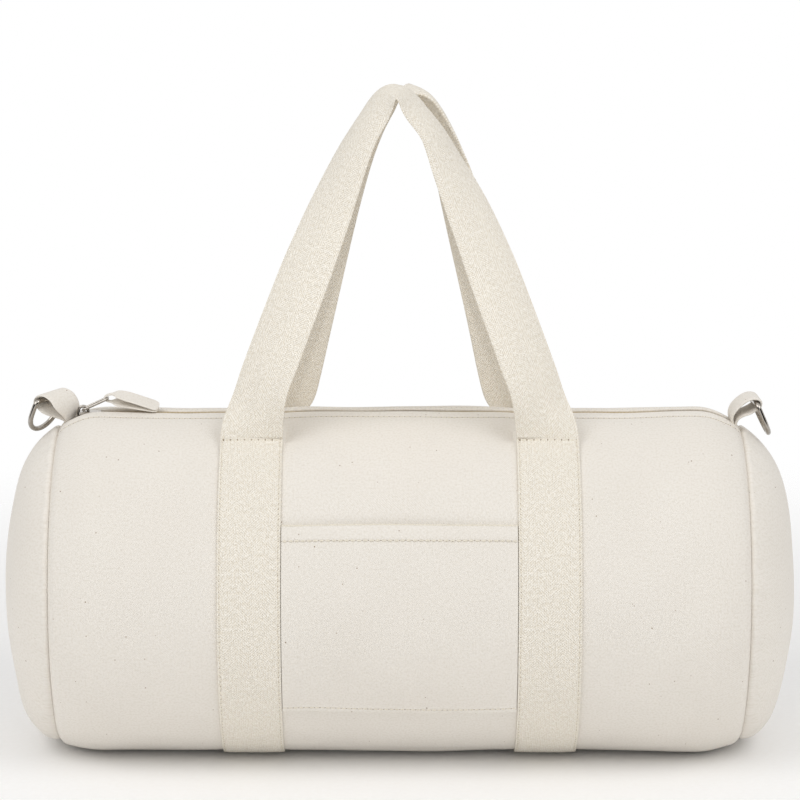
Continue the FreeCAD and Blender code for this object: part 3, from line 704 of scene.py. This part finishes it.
for hand, sign in hands.items():
    sheets = [endSheet(sign)]
    makePiece(f"end_canvas_{hand}", sheets, (canvas,), [f"end_panel_{hand}"], "bag")
print("ends: panels made")

# Seam binding: tape folded round the two raw edges inside each end seam.
binding = {"deep": 9.0, "thick": 3.0, "outside": 111.5, "inset": 1.7, "square": 0.6, "wave": 0.2, "waves": 31}
for hand, sign in hands.items():
    turn, section = np.linspace(0, fullTurn, 181), around(16)
    bulge = np.sign(np.sin(section)) * np.abs(np.sin(section)) ** binding["square"]
    ripple = binding["wave"] * np.sin(binding["waves"] * turn)[:, None] * np.cos(section)[None]
    x = barrel["half"] - binding["inset"] + binding["thick"] / 2 * bulge[None] + ripple
    r = (binding["outside"] + binding["deep"] / 2 * (np.cos(section) - 1))[None]
    points = np.stack([sign * x, -r * np.sin(turn)[:, None], barrel["axis"] + r * np.cos(turn)[:, None]], -1)
    strip = gridPart(points, uvGrid(turn * binding["outside"], section * binding["deep"] / 6), closed=True)
    name, node = f"binding_{hand}", f"seam_binding_{hand}"
    tape = makePiece(name, [strip], (bindingTape,), [node], "bag")

# Webbing: a flat band with soft edges, pressed down along its two rows of stitches.
webbingForm = {
    "stitchInset": 1.7,
    "stitchRise": 0.12,
    "groove": 0.45,
    "grooveWidth": 1.0,
    "crown": 0.3,
    "edgeRound": 0.9,
    # distances from each edge at which the band has points
    "edgeRows": (0, 0.15, 0.45, 0.9, 1.5, 2.1, 2.6, 3.0, 3.4, 3.9, 4.6, 6.0),
    "flatFrom": 8.5,
}
webbingStitch = {"pitch": 4.0, "length": 3.1, "width": 0.85, "rise": 0.05, "dip": 0.5, "hole": 0.4}
bandHalf = strap["width"] / 2


def bandHeights(across):
    form, half = webbingForm, strap["thick"] / 2
    fromEdge = np.clip(bandHalf - np.abs(across), 0, None)
    rounded = roundedEdge(fromEdge, form["edgeRound"])
    outside = half + half * rounded - form["groove"] * bell(fromEdge - form["stitchInset"], form["grooveWidth"])
    outside = outside + form["crown"] * (1 - (across / bandHalf) ** 2) * rounded
    return outside, half - half * rounded


def bandPart(middle, edgeways, outward, curl=0.0):
    near = bandHalf - np.array(webbingForm["edgeRows"])
    flatHalf = bandHalf - webbingForm["flatFrom"]
    across = np.r_[-near, np.linspace(-flatHalf, flatHalf, 12), near[::-1]]
    curl = np.broadcast_to(np.maximum(curl, 1e-3), len(middle))[:, None]
    turn = (curl * across[None] / bandHalf)[..., None]
    reach = (bandHalf / curl)[..., None]
    edgeways, outward = edgeways[:, None], outward[:, None]
    flat = middle[:, None] + reach * (edgeways * np.sin(turn) - outward * (1 - np.cos(turn)))
    out = outward * np.cos(turn) + edgeways * np.sin(turn)
    sheets = [flat + out * height[None, :, None] for height in bandHeights(across)]
    uv = np.stack(np.broadcast_arrays(across[None], runAlong(middle)[:, None]), -1)
    return shellPart(*sheets, uv)


# Straps: from each stitch line down the barrel and half way under it.
def strapParts(side, x):
    angles = np.linspace(stitchAngle[side], math.pi, 190) * way[side]
    middle = skin(x, angles, strap["lift"], soft=0.0)
    middle[:, 2] = np.maximum(middle[:, 2], strap["thick"] + webbingForm["crown"])
    edgeways = np.tile([float(way[side]), 0, 0], (len(middle), 1))
    outward = unit(np.cross(unit(np.gradient(middle, axis=0)), edgeways))
    parts = [bandPart(middle, edgeways, outward)]
    inset = bandHalf - webbingForm["stitchInset"]
    height = strap["thick"] - webbingForm["groove"] + webbingForm["stitchRise"]
    for offset in (-inset, inset):
        parts += sewnRow(middle + edgeways * offset + outward * height, outward, webbingStitch)
    return parts


for hand, sign in hands.items():
    for side in way:
        x = sign * strap["x"]
        nodes = [f"strap_wrap_{hand}", f"{side}_strap_{hand}"]
        finishes = (webbing, thread, paintedHoleShade)
        band = makePiece(f"{side}_strap_band_{hand}", strapParts(side, x), finishes, nodes)
        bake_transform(band)
        length = barrel["radius"] * (math.pi - stitchAngle[side])
print("straps: made")

# Handles: the same webbing, bending up from its stitch line, leaning in, turning on edge, pinched at the top.
handleForm = {
    "crest": {"front": 491.5, "rear": 484.5},
    "apart": 24.0,
    # each handle's middle line in its own leaning plane: mm to the right, mm above its root
    "line": {
        "front": (
            (-106.7, 0), (-105.5, 13.2), (-103, 23.2), (-99.2, 37.7), (-94.2, 52.2), (-83.6, 81.2),
            (-72.6, 110.2), (-61.8, 139.2), (-50.6, 167.7), (-40, 196.2), (-34.2, 210.6), (-27.2, 224.8),
            (-17.4, 239.7), (-9, 248.2), (-2.4, 250.2), (4, 247.8), (12.6, 239), (25.6, 224.8),
            (32.4, 210.6), (38, 196.2), (50.2, 167.7), (61.6, 139.2), (72.2, 110.2), (82.8, 81.2),
            (93.2, 52.2), (98.2, 37.7), (102, 23.2), (105, 13.2), (106.7, 0),
        ),
        "rear": (
            (-106.7, 0), (-99, 7.9), (-91, 12.9), (-86.8, 19.9), (-84, 28.9), (-80, 47.5), (-72.4, 80.2),
            (-64.4, 112.6), (-56, 144.6), (-47, 176.2), (-37.4, 207.6), (-31.2, 223.2), (-24, 238.7),
            (-14, 252.9), (-4, 261.9), (8, 267.4), (18, 264.4), (26, 252.9), (32.2, 238.7), (37, 223.2),
            (41.4, 207.6), (48.6, 176.2), (57, 144.6), (65.4, 112.6), (73.2, 80.2), (80, 47.5), (84, 28.9),
            (86.8, 19.9), (91, 12.9), (99, 7.9), (106.7, 0),
        ),
    },
    # shares of a leg's length, and the degrees by which its band has turned edge-on there, left and right
    "turnAt": {
        "front": (0, 0.1, 0.45, 0.62, 0.76, 0.87, 0.94, 0.97, 1),
        "rear": (0, 0.1, 0.4, 0.6, 0.76, 0.87, 0.94, 0.97, 1),
    },
    "turn": {
        "front": ((0, 33, 36, 45, 57, 66, 67, 71, 84), (0, 33, 36, 46, 60, 72, 71, 73, 84)),
        "rear": ((0, 6, 26, 42, 52, 61, 66, 73, 86), (0, 6, 26, 42, 52, 60, 66, 73, 86)),
    },
    # the same for the degrees by which it has curled
    "curlAt": (0, 0.2, 0.7, 0.9, 0.96, 1),
    "curl": (0, 12, 20, 30, 16, 4),
    "rootBend": 3.0,
    "swingShare": 0.3,
    "sinkShare": 0.1,
    "hingeLength": 30.0,
}


def alongLeg(places, degrees, share):
    grid = np.linspace(0, 1, 401)
    rough = np.pad(np.interp(grid, places, np.radians(degrees)), 14, "edge")
    return np.interp(share, grid, np.convolve(rough, np.full(29, 1 / 29), "valid"))


def handleRoot(side, top):
    sign, angle = -way[side], stitchAngle[side]
    outside = barrel["radius"] + strap["lift"]
    rising = np.array([0, sign * math.sin(angle), math.cos(angle)])
    leaving = np.array([0, -sign * math.cos(angle), math.sin(angle)])
    stitched = np.array([0, 0, barrel["axis"]]) + outside * rising
    sweep = math.acos(float(np.clip(leaving @ unit(top - stitched), -1, 1)))
    steps = np.linspace(0, sweep, 12)[:, None]
    places = stitched + handleForm["rootBend"] * (np.sin(steps) * leaving + (1 - np.cos(steps)) * rising)
    return places, np.cos(steps) * leaving + np.sin(steps) * rising


def handleParts(side):
    form, sign = handleForm, -way[side]
    top = np.array([0, sign * form["apart"], form["crest"][side]])
    root, rootAhead = handleRoot(side, top)
    base, upward = root[-1], unit(top - root[-1])
    facing = np.array([0, sign * upward[2], -sign * upward[1]])
    flat, run = softened(form["line"][side], 2.4)
    gone = np.minimum(run, run[-1] - run) / (run[-1] / 2)
    ahead = np.gradient(flat, axis=0)
    onLeft = run < run[-1] / 2
    level = np.where(onLeft, math.pi, 0.0)
    swing = level + (np.arctan2(ahead[:, 0], -ahead[:, 1]) - level) * ease(gone / form["swingShare"])
    outward = np.cos(swing)[:, None] * [1, 0, 0] + np.sin(swing)[:, None] * upward
    turns = [alongLeg(form["turnAt"][side], degrees, gone) for degrees in form["turn"][side]]
    turn = np.where(onLeft, *turns)[:, None]
    edge = outward * np.cos(turn) - facing * np.sin(turn)
    face = facing * np.cos(turn) + outward * np.sin(turn)
    middle = base + flat[:, :1] * [1, 0, 0] + flat[:, 1:] * upward
    # the bent roots at both ends are joined on
    rootFace = np.stack([rootAhead[:, 0], sign * rootAhead[:, 2], -sign * rootAhead[:, 1]], -1)[:-1]
    aside = np.tile([1.0, 0, 0], (len(rootFace), 1))
    roots = [root[:-1] + hand * strap["x"] * aside for hand in (-1, 1)]
    middle = np.vstack([roots[0], middle, roots[1][::-1]])
    edge = np.vstack([-aside, edge, aside]) * -sign
    face = np.vstack([rootFace, face, rootFace[::-1]])
    gone = np.pad(gone, len(aside))
    middle = middle - face * (strap["thick"] / 2) * ease(gone / form["sinkShare"])[:, None]
    curl = alongLeg(form["curlAt"], form["curl"], gone)
    return [bandPart(middle, edge, face, curl)], base, upward, runAlong(middle)[-1]


crossStitch = {"pitch": 5.0, "length": 3.6, "width": 1.0, "rise": 0.1, "dip": 0.7, "hole": 1.35}
crossSeam = {"below": 1.5, "margin": 2.5, "rise": 0.2}
for side in way:
    parts, base, upward, length = handleParts(side)
    handle = makePiece(f"{side}_handle_band", parts, (webbing,), [f"{side}_handle"])
    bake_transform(handle)
    rows = []
    for sign in hands.values():
        reach = bandHalf - crossSeam["margin"]
        x = sign * strap["x"] + np.linspace(-reach, reach, 30)
        angles = np.full(len(x), way[side] * (stitchAngle[side] + crossSeam["below"] / barrel["radius"]))
        seam = skin(x, angles, strap["lift"] + strap["thick"] + crossSeam["rise"], soft=0.0)
        outward = np.stack([x * 0, -np.sin(angles), np.cos(angles)], -1)
        rows += sewnRow(seam, outward, crossStitch, material=0)
    name, node = f"{side}_handle_seams", f"{side}_handle_stitches"
    seams = makePiece(name, rows, (thread, paintedHoleShade), [node], f"{side}_wall")
print("handles: made")

# Pocket: doubled canvas between the straps, with a deep hem at its open edge.
pocket = {
    "half": 83.7,
    "top": math.radians(57.5),
    "base": math.radians(122.5),
    "clear": 0.35,
    "thick": 1.2,
    "hem": 11.2,
    "hemThick": 0.9,
    "hemGroove": 0.3,
    "footSeam": 4.2,
    "footThick": 0.8,
    "footGroove": 0.45,
    "grooveWidth": 1.0,
    "pucker": 0.16,
    "puckerReach": 5.0,
    "gape": 1.5,
    "gapeReach": 22.0,
    "bulge": 0.8,
    "turnedIn": 30.0,
    "edgeRound": 0.6,
    "edgeRoll": 0.95,
    "weaveFrom": 400.0,  # its own stretch of the woven pattern
}
hemStitch = {"pitch": 4.4, "length": 3.3, "width": 1.2, "rise": 0.3, "dip": 0.6, "hole": 0.26}
pocketDeep = barrel["radius"] * (pocket["base"] - pocket["top"])


def pocketParts(first, last):
    form, deep = pocket, pocketDeep
    body = spaced(16, deep - 8, 2.6)[1:]
    down = np.r_[0.0, 0.25, spaced(0.6, 16, 0.7), body, spaced(deep - 8, deep, 0.7)[1:]]
    x = spaced(first, last, 2.4)
    angle = form["top"] + down / barrel["radius"]
    inX = np.clip(np.abs(x) / form["half"], 0, 1)
    free = (1 - inX**4)[:, None] * np.sin(math.pi * np.clip(down / deep, 0, 1))[None]
    lift = form["clear"] + form["bulge"] * free
    lift = lift + form["gape"] * (1 - inX**2)[:, None] * bell(down, form["gapeReach"])[None]
    fromHem, toFoot = down - form["hem"], deep - down
    thick = form["thick"] + form["hemThick"] * ease((1.5 - fromHem) / 3)
    thick = thick + form["footThick"] * ease((7 - toFoot) / 3)
    groove = form["hemGroove"] * bell(fromHem, form["grooveWidth"])
    groove = groove + form["footGroove"] * bell(toFoot - form["footSeam"], form["grooveWidth"])
    rounded = roundedEdge(np.minimum(down, toFoot), form["edgeRound"])
    pucker = form["pucker"] * np.sin(x / hemStitch["pitch"] * fullTurn + 1)
    pucker = pucker[:, None] * bell(fromHem, form["puckerReach"])[None]
    outside = skin(x[:, None], angle[None], lift + (thick * (0.5 + 0.5 * rounded) - groove)[None] + pucker)
    inside = skin(x[:, None], angle[None], lift + (thick * (0.5 - 0.5 * rounded))[None])
    parts = [shellPart(outside, inside, uvGrid(x, down + form["weaveFrom"]))]
    # the hem's rolled edge: a real round fold, given the paler thread finish as a painted highlight along it
    parts.append(tubePart((outside[:, 0] + inside[:, 0]) / 2, form["edgeRoll"], 10, material=1))
    for at, stitch in ((form["hem"], hemStitch), (deep - form["footSeam"], canvasStitch)):
        row = int(np.argmin(np.abs(down - at)))
        outward = skinNormal(x, angle[row])
        parts += sewnRow(outside[:, row] + outward * 0.1, outward, stitch)
    return parts


pocketFoot = skin(0.0, pocket["base"], 0.0, 0.0) * mm
for hand, sign in hands.items():
    parts = pocketParts(*sorted((0.0, sign * pocket["half"])))
    patch = makePiece(f"pocket_cloth_{hand}", parts, sewnCanvas, ["front_pocket"])
    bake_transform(patch)
print("pocket: made")

# Zip: tape under the folded edges, and two rows of teeth that mesh along the middle.
zipForm = {
    "height": 247.9,
    "softShare": 0.3,
    "tapeUnder": 2.6,
    "tapeThick": 0.7,
    "tapeRows": (0.4, 1.2, 2.4, 3.6, 5.0, 7.5, 10.0, 15.0),
    "tapeEnd": 248.0,
    "chainEnd": 238.5,
    "toothPitch": 2.5,
    "toothWide": 1.15,
    "toothHigh": 1.2,
    "toothFrom": 3.3,
    "toothTo": -0.5,
    "toothSwell": (0.75, 0.95, 0.9, 0.95, 1.05, 0.55),
    "cordRadius": 0.75,
    "cordUnder": 1.15,
}


def zipSkin(x, across, lift=0.0):
    return skin(x, across / barrel["radius"], lift, soft=zipForm["softShare"])


# The middle of the teeth, which follows the barrel's lumps along the zip.
def chainHeight(x):
    return zipForm["height"] + zipSkin(x, 0.0)[..., 2] - barrel["axis"] - barrel["radius"]


def tapePart(side, first, last):
    x, across = spaced(first, last, 4.0), np.array(zipForm["tapeRows"])
    lifts = (-zipForm["tapeUnder"], -zipForm["tapeUnder"] - zipForm["tapeThick"])
    sheets = [zipSkin(x[:, None], way[side] * across[None], lift) for lift in lifts]
    return sidedShell(side, *sheets, uvGrid(x, across))


def toothParts(side, first, last):
    form, pitch, sides = zipForm, zipForm["toothPitch"], 8
    offset = 0.0 if side == "front" else 0.5
    numbers = np.arange(math.ceil(first / pitch - offset), math.ceil(last / pitch - offset))
    places = (numbers + offset) * pitch
    spots = places[(places > first + 0.5) & (places < last - 0.5)]
    swell, turn = np.array(form["toothSwell"])[:, None] / 2, around(sides)
    depth = np.linspace(form["toothFrom"], form["toothTo"], len(swell))
    wide = form["toothWide"] * swell * np.cos(turn)
    high = form["toothHigh"] * swell * np.sin(turn)
    y = np.repeat((-way[side] * depth)[:, None], sides, 1)
    xs, zs = spots[:, None, None] + wide, chainHeight(spots)[:, None, None] + high
    points = np.stack(np.broadcast_arrays(xs, y, zs), -1)
    tip = (len(swell) - 1) * sides + np.arange(sides)
    row = copiesPart(points, np.stack([wide, y], -1), (tip,))
    cord = zipSkin(spaced(first, last, 3.0), way[side] * form["toothFrom"], -form["cordUnder"])
    return [row, tubePart(cord, form["cordRadius"], 8)]


for side in way:
    for hand, sign in hands.items():
        reach = sorted((0.0, sign * mouth["half"]))
        strips, rows = [tapePart(side, *reach)], toothParts(side, *reach)
        tape = makePiece(f"{side}_tape_{hand}", strips, (zipTape,), [f"zip_tape_{side}"])
        chain = makePiece(f"{side}_chain_{hand}", rows, (nylon,), [f"zip_teeth_{side}"])
        for piece in (tape, chain):
            foldWithWall(piece)
for hand, sign in hands.items():
    reach, inside = [sorted((sign * mouth["half"], sign * zipForm[end])) for end in ("tapeEnd", "chainEnd")]
    strips = [tapePart(side, *reach) for side in way]
    tape = makePiece(f"end_tape_{hand}", strips, (zipTape,), [f"zip_end_tape_{hand}"], "bag")
    rows = [part for side in way for part in toothParts(side, *inside)]
    makePiece(f"end_chain_{hand}", rows, (nylon,), [f"zip_end_teeth_{hand}"], "bag")
print("zip: tape and teeth made")


# Rings and pull: each stands in its own place, turned about Y and then about Z.
def placePart(part, origin, yaw, pitch):
    cy, sy, cp, sp = math.cos(yaw), math.sin(yaw), math.cos(pitch), math.sin(pitch)
    aboutZ = np.array([[cy, -sy, 0], [sy, cy, 0], [0, 0, 1]])
    aboutY = np.array([[cp, 0, sp], [0, 1, 0], [-sp, 0, cp]])
    part["points"] = part["points"] @ (aboutZ @ aboutY).T + np.array(origin)
    return part


ringForm = {"wire": 1.9, "length": 26.0, "half": 14.75, "corner": 4.0, "hang": math.radians(66.0)}
# the tabs' fat loops, from the foot over the ring's bar and back, in mm towards the bag and up
tabForm = {
    "leaf": 1.9,
    "width": 25.0,
    "footWidth": 14.0,
    "footLength": 4.0,
    "narrows": 17.0,
    "left": {
        "loop": (
            (17.5, -21), (16.4, -14), (17.2, -8), (16.6, -2.2), (12.4, 3), (6.4, 5.4), (1, 5), (-3.4, 2.2),
            (-3.6, -2.4), (0.5, -5), (6, -9), (12, -12.5), (15.5, -15.5), (16, -21),
        ),
        "footShift": 6.5,
        "skew": (0.08, 0.06),
    },
    "right": {
        "loop": (
            (16.5, -23), (16, -16.5), (17.6, -11.5), (16.2, -6), (11.5, -0.6), (6, 3.1), (1, 4.1), (-3.4, 2.3),
            (-3.4, -2.2), (0, -4.4), (4.5, -7.2), (9, -8.6), (13.2, -11.6), (14.6, -16.4), (14.6, -23),
        ),
        "footShift": 0.0,
        "skew": (0.0, 0.0),
    },
}
ringPlaces = {
    "left": ((-257.556, 8.091, 257.516), math.radians(-35.0), -1),
    "right": ((260.072, 0.984, 257.516), math.radians(4.0), 1),
}


# A quarter of a round corner, in the plane of a ring or link.
def cornerLine(x, y, radius, start, count):
    turn = np.radians(np.linspace(start, start + 90, count))
    return np.stack([x + radius * np.cos(turn), y + radius * np.sin(turn), turn * 0], -1)


def ringLine():
    half, corner, length = ringForm["half"], ringForm["corner"], ringForm["length"]
    bow = np.linspace(-math.pi / 2, math.pi / 2, 40)
    bowed = np.stack([length - half + half * np.cos(bow), half * np.sin(bow), bow * 0], -1)
    upper = cornerLine(corner, half - corner, corner, 90, 8)
    bar = np.linspace(half - corner, corner - half, 12)[1:-1, None] * [0, 1, 0]
    lower = cornerLine(corner, corner - half, corner, 180, 8)
    return np.vstack([bowed, upper, bar, lower])


# A strip of cloth that follows a line seen from its edge; it may narrow, shift sideways and roll.
stripForm = {"rows": 15, "crowded": 0.8, "square": 14, "thinnest": 0.003, "weaveFrom": 700.0}


def foldedStrip(path, run, width, leaf, shift=0.0, skew=(0.0, 0.0), roll=0.0):
    form = stripForm
    ahead = unit(np.gradient(path, axis=0))
    outward = np.stack([ahead[:, 1], ahead[:, 1] * 0, -ahead[:, 0]], -1)
    across = np.linspace(-1, 1, form["rows"])
    across = np.sign(across) * np.abs(across) ** form["crowded"]
    edge = np.sqrt(np.clip(1 - np.abs(across) ** form["square"], form["thinnest"], 1))
    sideways = across[None] * width[:, None] / 2 + np.broadcast_to(shift, len(run))[:, None]
    lean = np.array([skew[0], 1.0, skew[1]]) * sideways[..., None]
    flat = np.stack([path[:, 0], path[:, 0] * 0, path[:, 1]], -1)[:, None] + lean
    sheets = [flat + out * outward[:, None] * (leaf / 2 * edge)[None, :, None] for out in (1, -1)]
    tilt = np.broadcast_to(roll, len(run))[:, None]
    for sheet in sheets:
        y, z = sheet[..., 1].copy(), sheet[..., 2].copy()
        sheet[..., 1] = y * np.cos(tilt) - z * np.sin(tilt)
        sheet[..., 2] = y * np.sin(tilt) + z * np.cos(tilt)
    uv = np.stack(np.broadcast_arrays(sideways, run[:, None] + form["weaveFrom"]), -1)
    return shellPart(sheets[0][:, ::-1], sheets[1][:, ::-1], uv[:, ::-1])


for hand, (origin, yaw, sign) in ringPlaces.items():
    pitch = ringForm["hang"] if sign > 0 else math.pi - ringForm["hang"]
    wire = placePart(tubePart(ringLine(), ringForm["wire"], 16, closed=True), origin, yaw, pitch)
    makePiece(f"ring_wire_{hand}", [wire], (nickel,), [f"d_ring_{hand}"], f"ring_{hand}")
    form = tabForm[hand]
    path, run = softened(form["loop"])
    fromFoot = np.minimum(run, run[-1] - run)
    spread = ease((fromFoot - tabForm["footLength"]) / tabForm["narrows"])
    width = tabForm["footWidth"] + (tabForm["width"] - tabForm["footWidth"]) * spread
    strip = foldedStrip(path, run, width, tabForm["leaf"], form["footShift"] * (1 - spread), form["skew"])
    toBag = yaw if sign < 0 else yaw + math.pi
    strip = placePart(strip, origin, toBag, 0.0)
    tab = makePiece(f"ring_loop_{hand}", [strip], (canvas,), [f"ring_tab_{hand}"], "bag")
print("rings and tabs: made")

linkForm = {"length": 20.0, "half": 3.4, "wire": 0.9, "corner": 1.6, "rise": math.radians(25.0)}
linkPlace = ((-232.0, 0.0, 251.3), 0.0, -linkForm["rise"])
corner = linkForm["corner"]
far, wide = linkForm["length"] - corner, linkForm["half"] - corner
bends = ((far, wide, 0), (corner, wide, 90), (corner, -wide, 180), (far, -wide, 270))
line = np.vstack([cornerLine(x, y, corner, start, 7) for x, y, start in bends])
wire = placePart(tubePart(line, linkForm["wire"], 14, closed=True), *linkPlace)
link = makePiece("pull_wire", [wire], (nickel,), ["zip_pull_link"], "pull_link")

# the pull's strip, from its tip over the link's bar and back, in mm along the pull and up
pullForm = {
    "fold": (
        (38, 0.7), (36, 0.75), (26, 2.4), (14, 4.2), (6, 4.4), (1, 3.2), (-2.4, 1.0),
        (-2.2, -1.6), (2, -2.4), (9, -1.4), (24, -0.9), (36, -0.75), (38, -0.7),
    ),
    "width": 16.0,
    "neck": 4.2,
    "neckTo": 2.2,
    "shoulder": 4.5,
    "leaf": 1.3,
    "tipRound": 5.0,
    "droop": math.radians(10.5),
    "roll": math.radians(14.0),
    "rollOver": 14.0,
}
pullPlace = ((-213.874, 0.0, 259.752), 0.0, pullForm["droop"])
path, run = softened(pullForm["fold"], 0.6)
fromTip = np.minimum(run, run[-1] - run)
corner = pullForm["tipRound"]
inset = corner - np.sqrt(np.clip(corner**2 - np.clip(corner - fromTip, 0, corner) ** 2, 0, None))
shoulders = ease((path[:, 0] - pullForm["neckTo"]) / pullForm["shoulder"])
width = pullForm["neck"] + (pullForm["width"] - pullForm["neck"]) * shoulders - 2 * inset
roll = pullForm["roll"] * ease(path[:, 0] / pullForm["rollOver"])
strip = placePart(foldedStrip(path, run, width, pullForm["leaf"], roll=roll), *pullPlace)
pull = makePiece("pull_cloth", [strip], (canvas,), ["zip_pull_tab"], "pull_tab")

# Zip stops: small nickel staples bent over the last teeth, one on each row at the zip's top, on the left,
# and one over both rows at its bottom.
stopForm = {"wire": 0.8, "wide": 3.1, "narrow": 0.9, "deep": 1.6, "above": 0.9}


def staple(x, first, last):
    middle = float(chainHeight(x))
    low, high = middle - stopForm["deep"], middle + stopForm["above"]
    line, _ = softened([(x, first, low), (x, first, high), (x, last, high), (x, last, low)], 0.4)
    return tubePart(line, stopForm["wire"], 12)


wide, narrow, stopAt = stopForm["wide"], stopForm["narrow"], zipForm["chainEnd"]
pair = [staple(-stopAt, *legs) for legs in ((-wide, -narrow), (narrow, wide))]
makePiece("top_staples", pair, (nickel,), ["zip_top_stops"], "bag")
makePiece("bottom_staple", [staple(stopAt, -wide, wide)], (nickel,), ["zip_bottom_stop"], "bag")
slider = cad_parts["zip_slider"]
slider.data.materials.clear()
slider.data.materials.append(nickel)
print("zip pull and stops: made")

# Studio: pale floor that fades to white, soft light from above and in front.
studio = {
    "floor": "#FAF9F8",
    "floorHalf": 6,
    "floorGrain": 4.0,
    "fade": (0.45, 0.95),
    "white": 1.0,
    "ambient": 0.65,
    "key": {"at": (-1.9, -1.7, 2.5), "size": 2.4, "watts": 30, "spread": 180, "target": (0, 0, 0.2)},
    "fill": {"at": (1.9, -1.7, 2.5), "size": 2.4, "watts": 28, "spread": 180, "target": (0, 0, 0.2)},
    # a spot lamp over the camera that reaches the handles but hardly the barrel
    "spot": {"at": (0, -2.2, 1.15), "size": 0.06, "watts": 24, "spread": 9, "target": (0, 0, 0.35)},
    # the unlit room on both sides of the camera, which only polished metal mirrors
    "room": {
        "from": math.radians(9),
        "to": math.radians(78),
        "soft": math.radians(7),
        "top": (0.62, 0.5),
        "dark": 0.03,
    },
}


# pale paper: smooth and matt, with a very faint grain
def paleFloor():
    finish, tree, shader = newFinish("pale_paper_floor")
    tree.nodes.remove(shader)
    place = addNode(tree, "TexCoord").outputs["Object"]
    tone = tinted(tree, noise(tree, place, studio["floorGrain"]), studio["floor"], "#FFFFFF")
    paper = addNode(tree, "BsdfDiffuse", {"Color": tone}).outputs[0]
    # away from the bag the paper gives way to the white behind it
    away = addNode(tree, "VectorMath", {0: place}, operation="LENGTH").outputs["Value"]
    gone = ranged(tree, away, *studio["fade"], interpolation_type="SMOOTHSTEP")
    clear = addNode(tree, "BsdfTransparent").outputs[0]
    both = addNode(tree, "MixShader", {0: gone, 1: paper, 2: clear}).outputs[0]
    setInputs(tree, tree.nodes["Material Output"], {"Surface": both})
    return finish


half = studio["floorHalf"]
corners = [(x * half, y * half, 0) for x, y in ((-1, -1), (1, -1), (1, 1), (-1, 1))]
floorMesh = bpy.data.meshes.new("floor")
floorMesh.from_pydata(corners, [], [(0, 1, 2, 3)])
floorMesh.materials.append(paleFloor())
floor = bpy.data.objects.new("floor", floorMesh)
scene.collection.objects.link(floor)

world = bpy.data.worlds.new("studio")
scene.world = world
world.use_nodes = True
tree = world.node_tree
tree.nodes.clear()
rays = addNode(tree, "LightPath").outputs
seen = rays["Is Camera Ray"]
for ray in ("Is Glossy Ray", "Is Transmission Ray"):
    seen = worked(tree, "MAXIMUM", seen, rays[ray])
strength = ranged(tree, seen, first=studio["ambient"], last=studio["white"])
room = studio["room"]
aim = addNode(tree, "SeparateXYZ", {"Vector": addNode(tree, "TexCoord").outputs["Generated"]}).outputs
ahead = worked(tree, "MULTIPLY", aim["Y"], -1.0)
heading = worked(tree, "ARCTAN2", worked(tree, "ABSOLUTE", aim["X"]), ahead)
mirrored = rays["Is Glossy Ray"]
for value, outside, inside in (
    (heading, room["from"], room["from"] + room["soft"]),
    (heading, room["to"] + room["soft"], room["to"]),
    (aim["Z"], *room["top"]),
):
    mirrored = worked(tree, "MULTIPLY", mirrored, ranged(tree, value, outside, inside))
level = worked(tree, "MULTIPLY", strength, ranged(tree, mirrored, first=1.0, last=room["dark"]))
background = addNode(tree, "Background", {"Color": linear("#FFFFFF"), "Strength": level})
addNode(tree, "OutputWorld", {"Surface": background.outputs[0]})

for name in ("key", "fill", "spot"):
    setting = studio[name]
    spread = math.radians(setting["spread"])
    lamp = bpy.data.lights.new(name, "SPOT" if name == "spot" else "AREA")
    if name == "spot":
        lamp.spot_size = spread
        lamp.spot_blend = 1.0
        lamp.shadow_soft_size = setting["size"] / 2
    else:
        lamp.shape = "DISK"
        lamp.size = setting["size"]
        lamp.spread = spread
    lamp.energy = setting["watts"]
    holder = bpy.data.objects.new(name, lamp)
    scene.collection.objects.link(holder)
    holder.location = setting["at"]
    x, y, z = np.array(setting["target"]) - np.array(setting["at"])
    holder.rotation_euler = (math.atan2(np.hypot(x, y), -z), 0, math.atan2(y, x) - math.pi / 2)

shot = {"at": (0.0003, -2.551, 0.8397), "down": 12.84, "lens": 160.6}
lens = bpy.data.cameras.new("camera")
lens.lens = shot["lens"]
lens.sensor_width = 36.0
lens.clip_end = 50
camera = bpy.data.objects.new("camera", lens)
scene.collection.objects.link(camera)
camera.location = shot["at"]
camera.rotation_euler = (math.radians(90 - shot["down"]), 0, 0)
scene.camera = camera
scene.view_settings.view_transform = "Standard"
print("studio: lit")
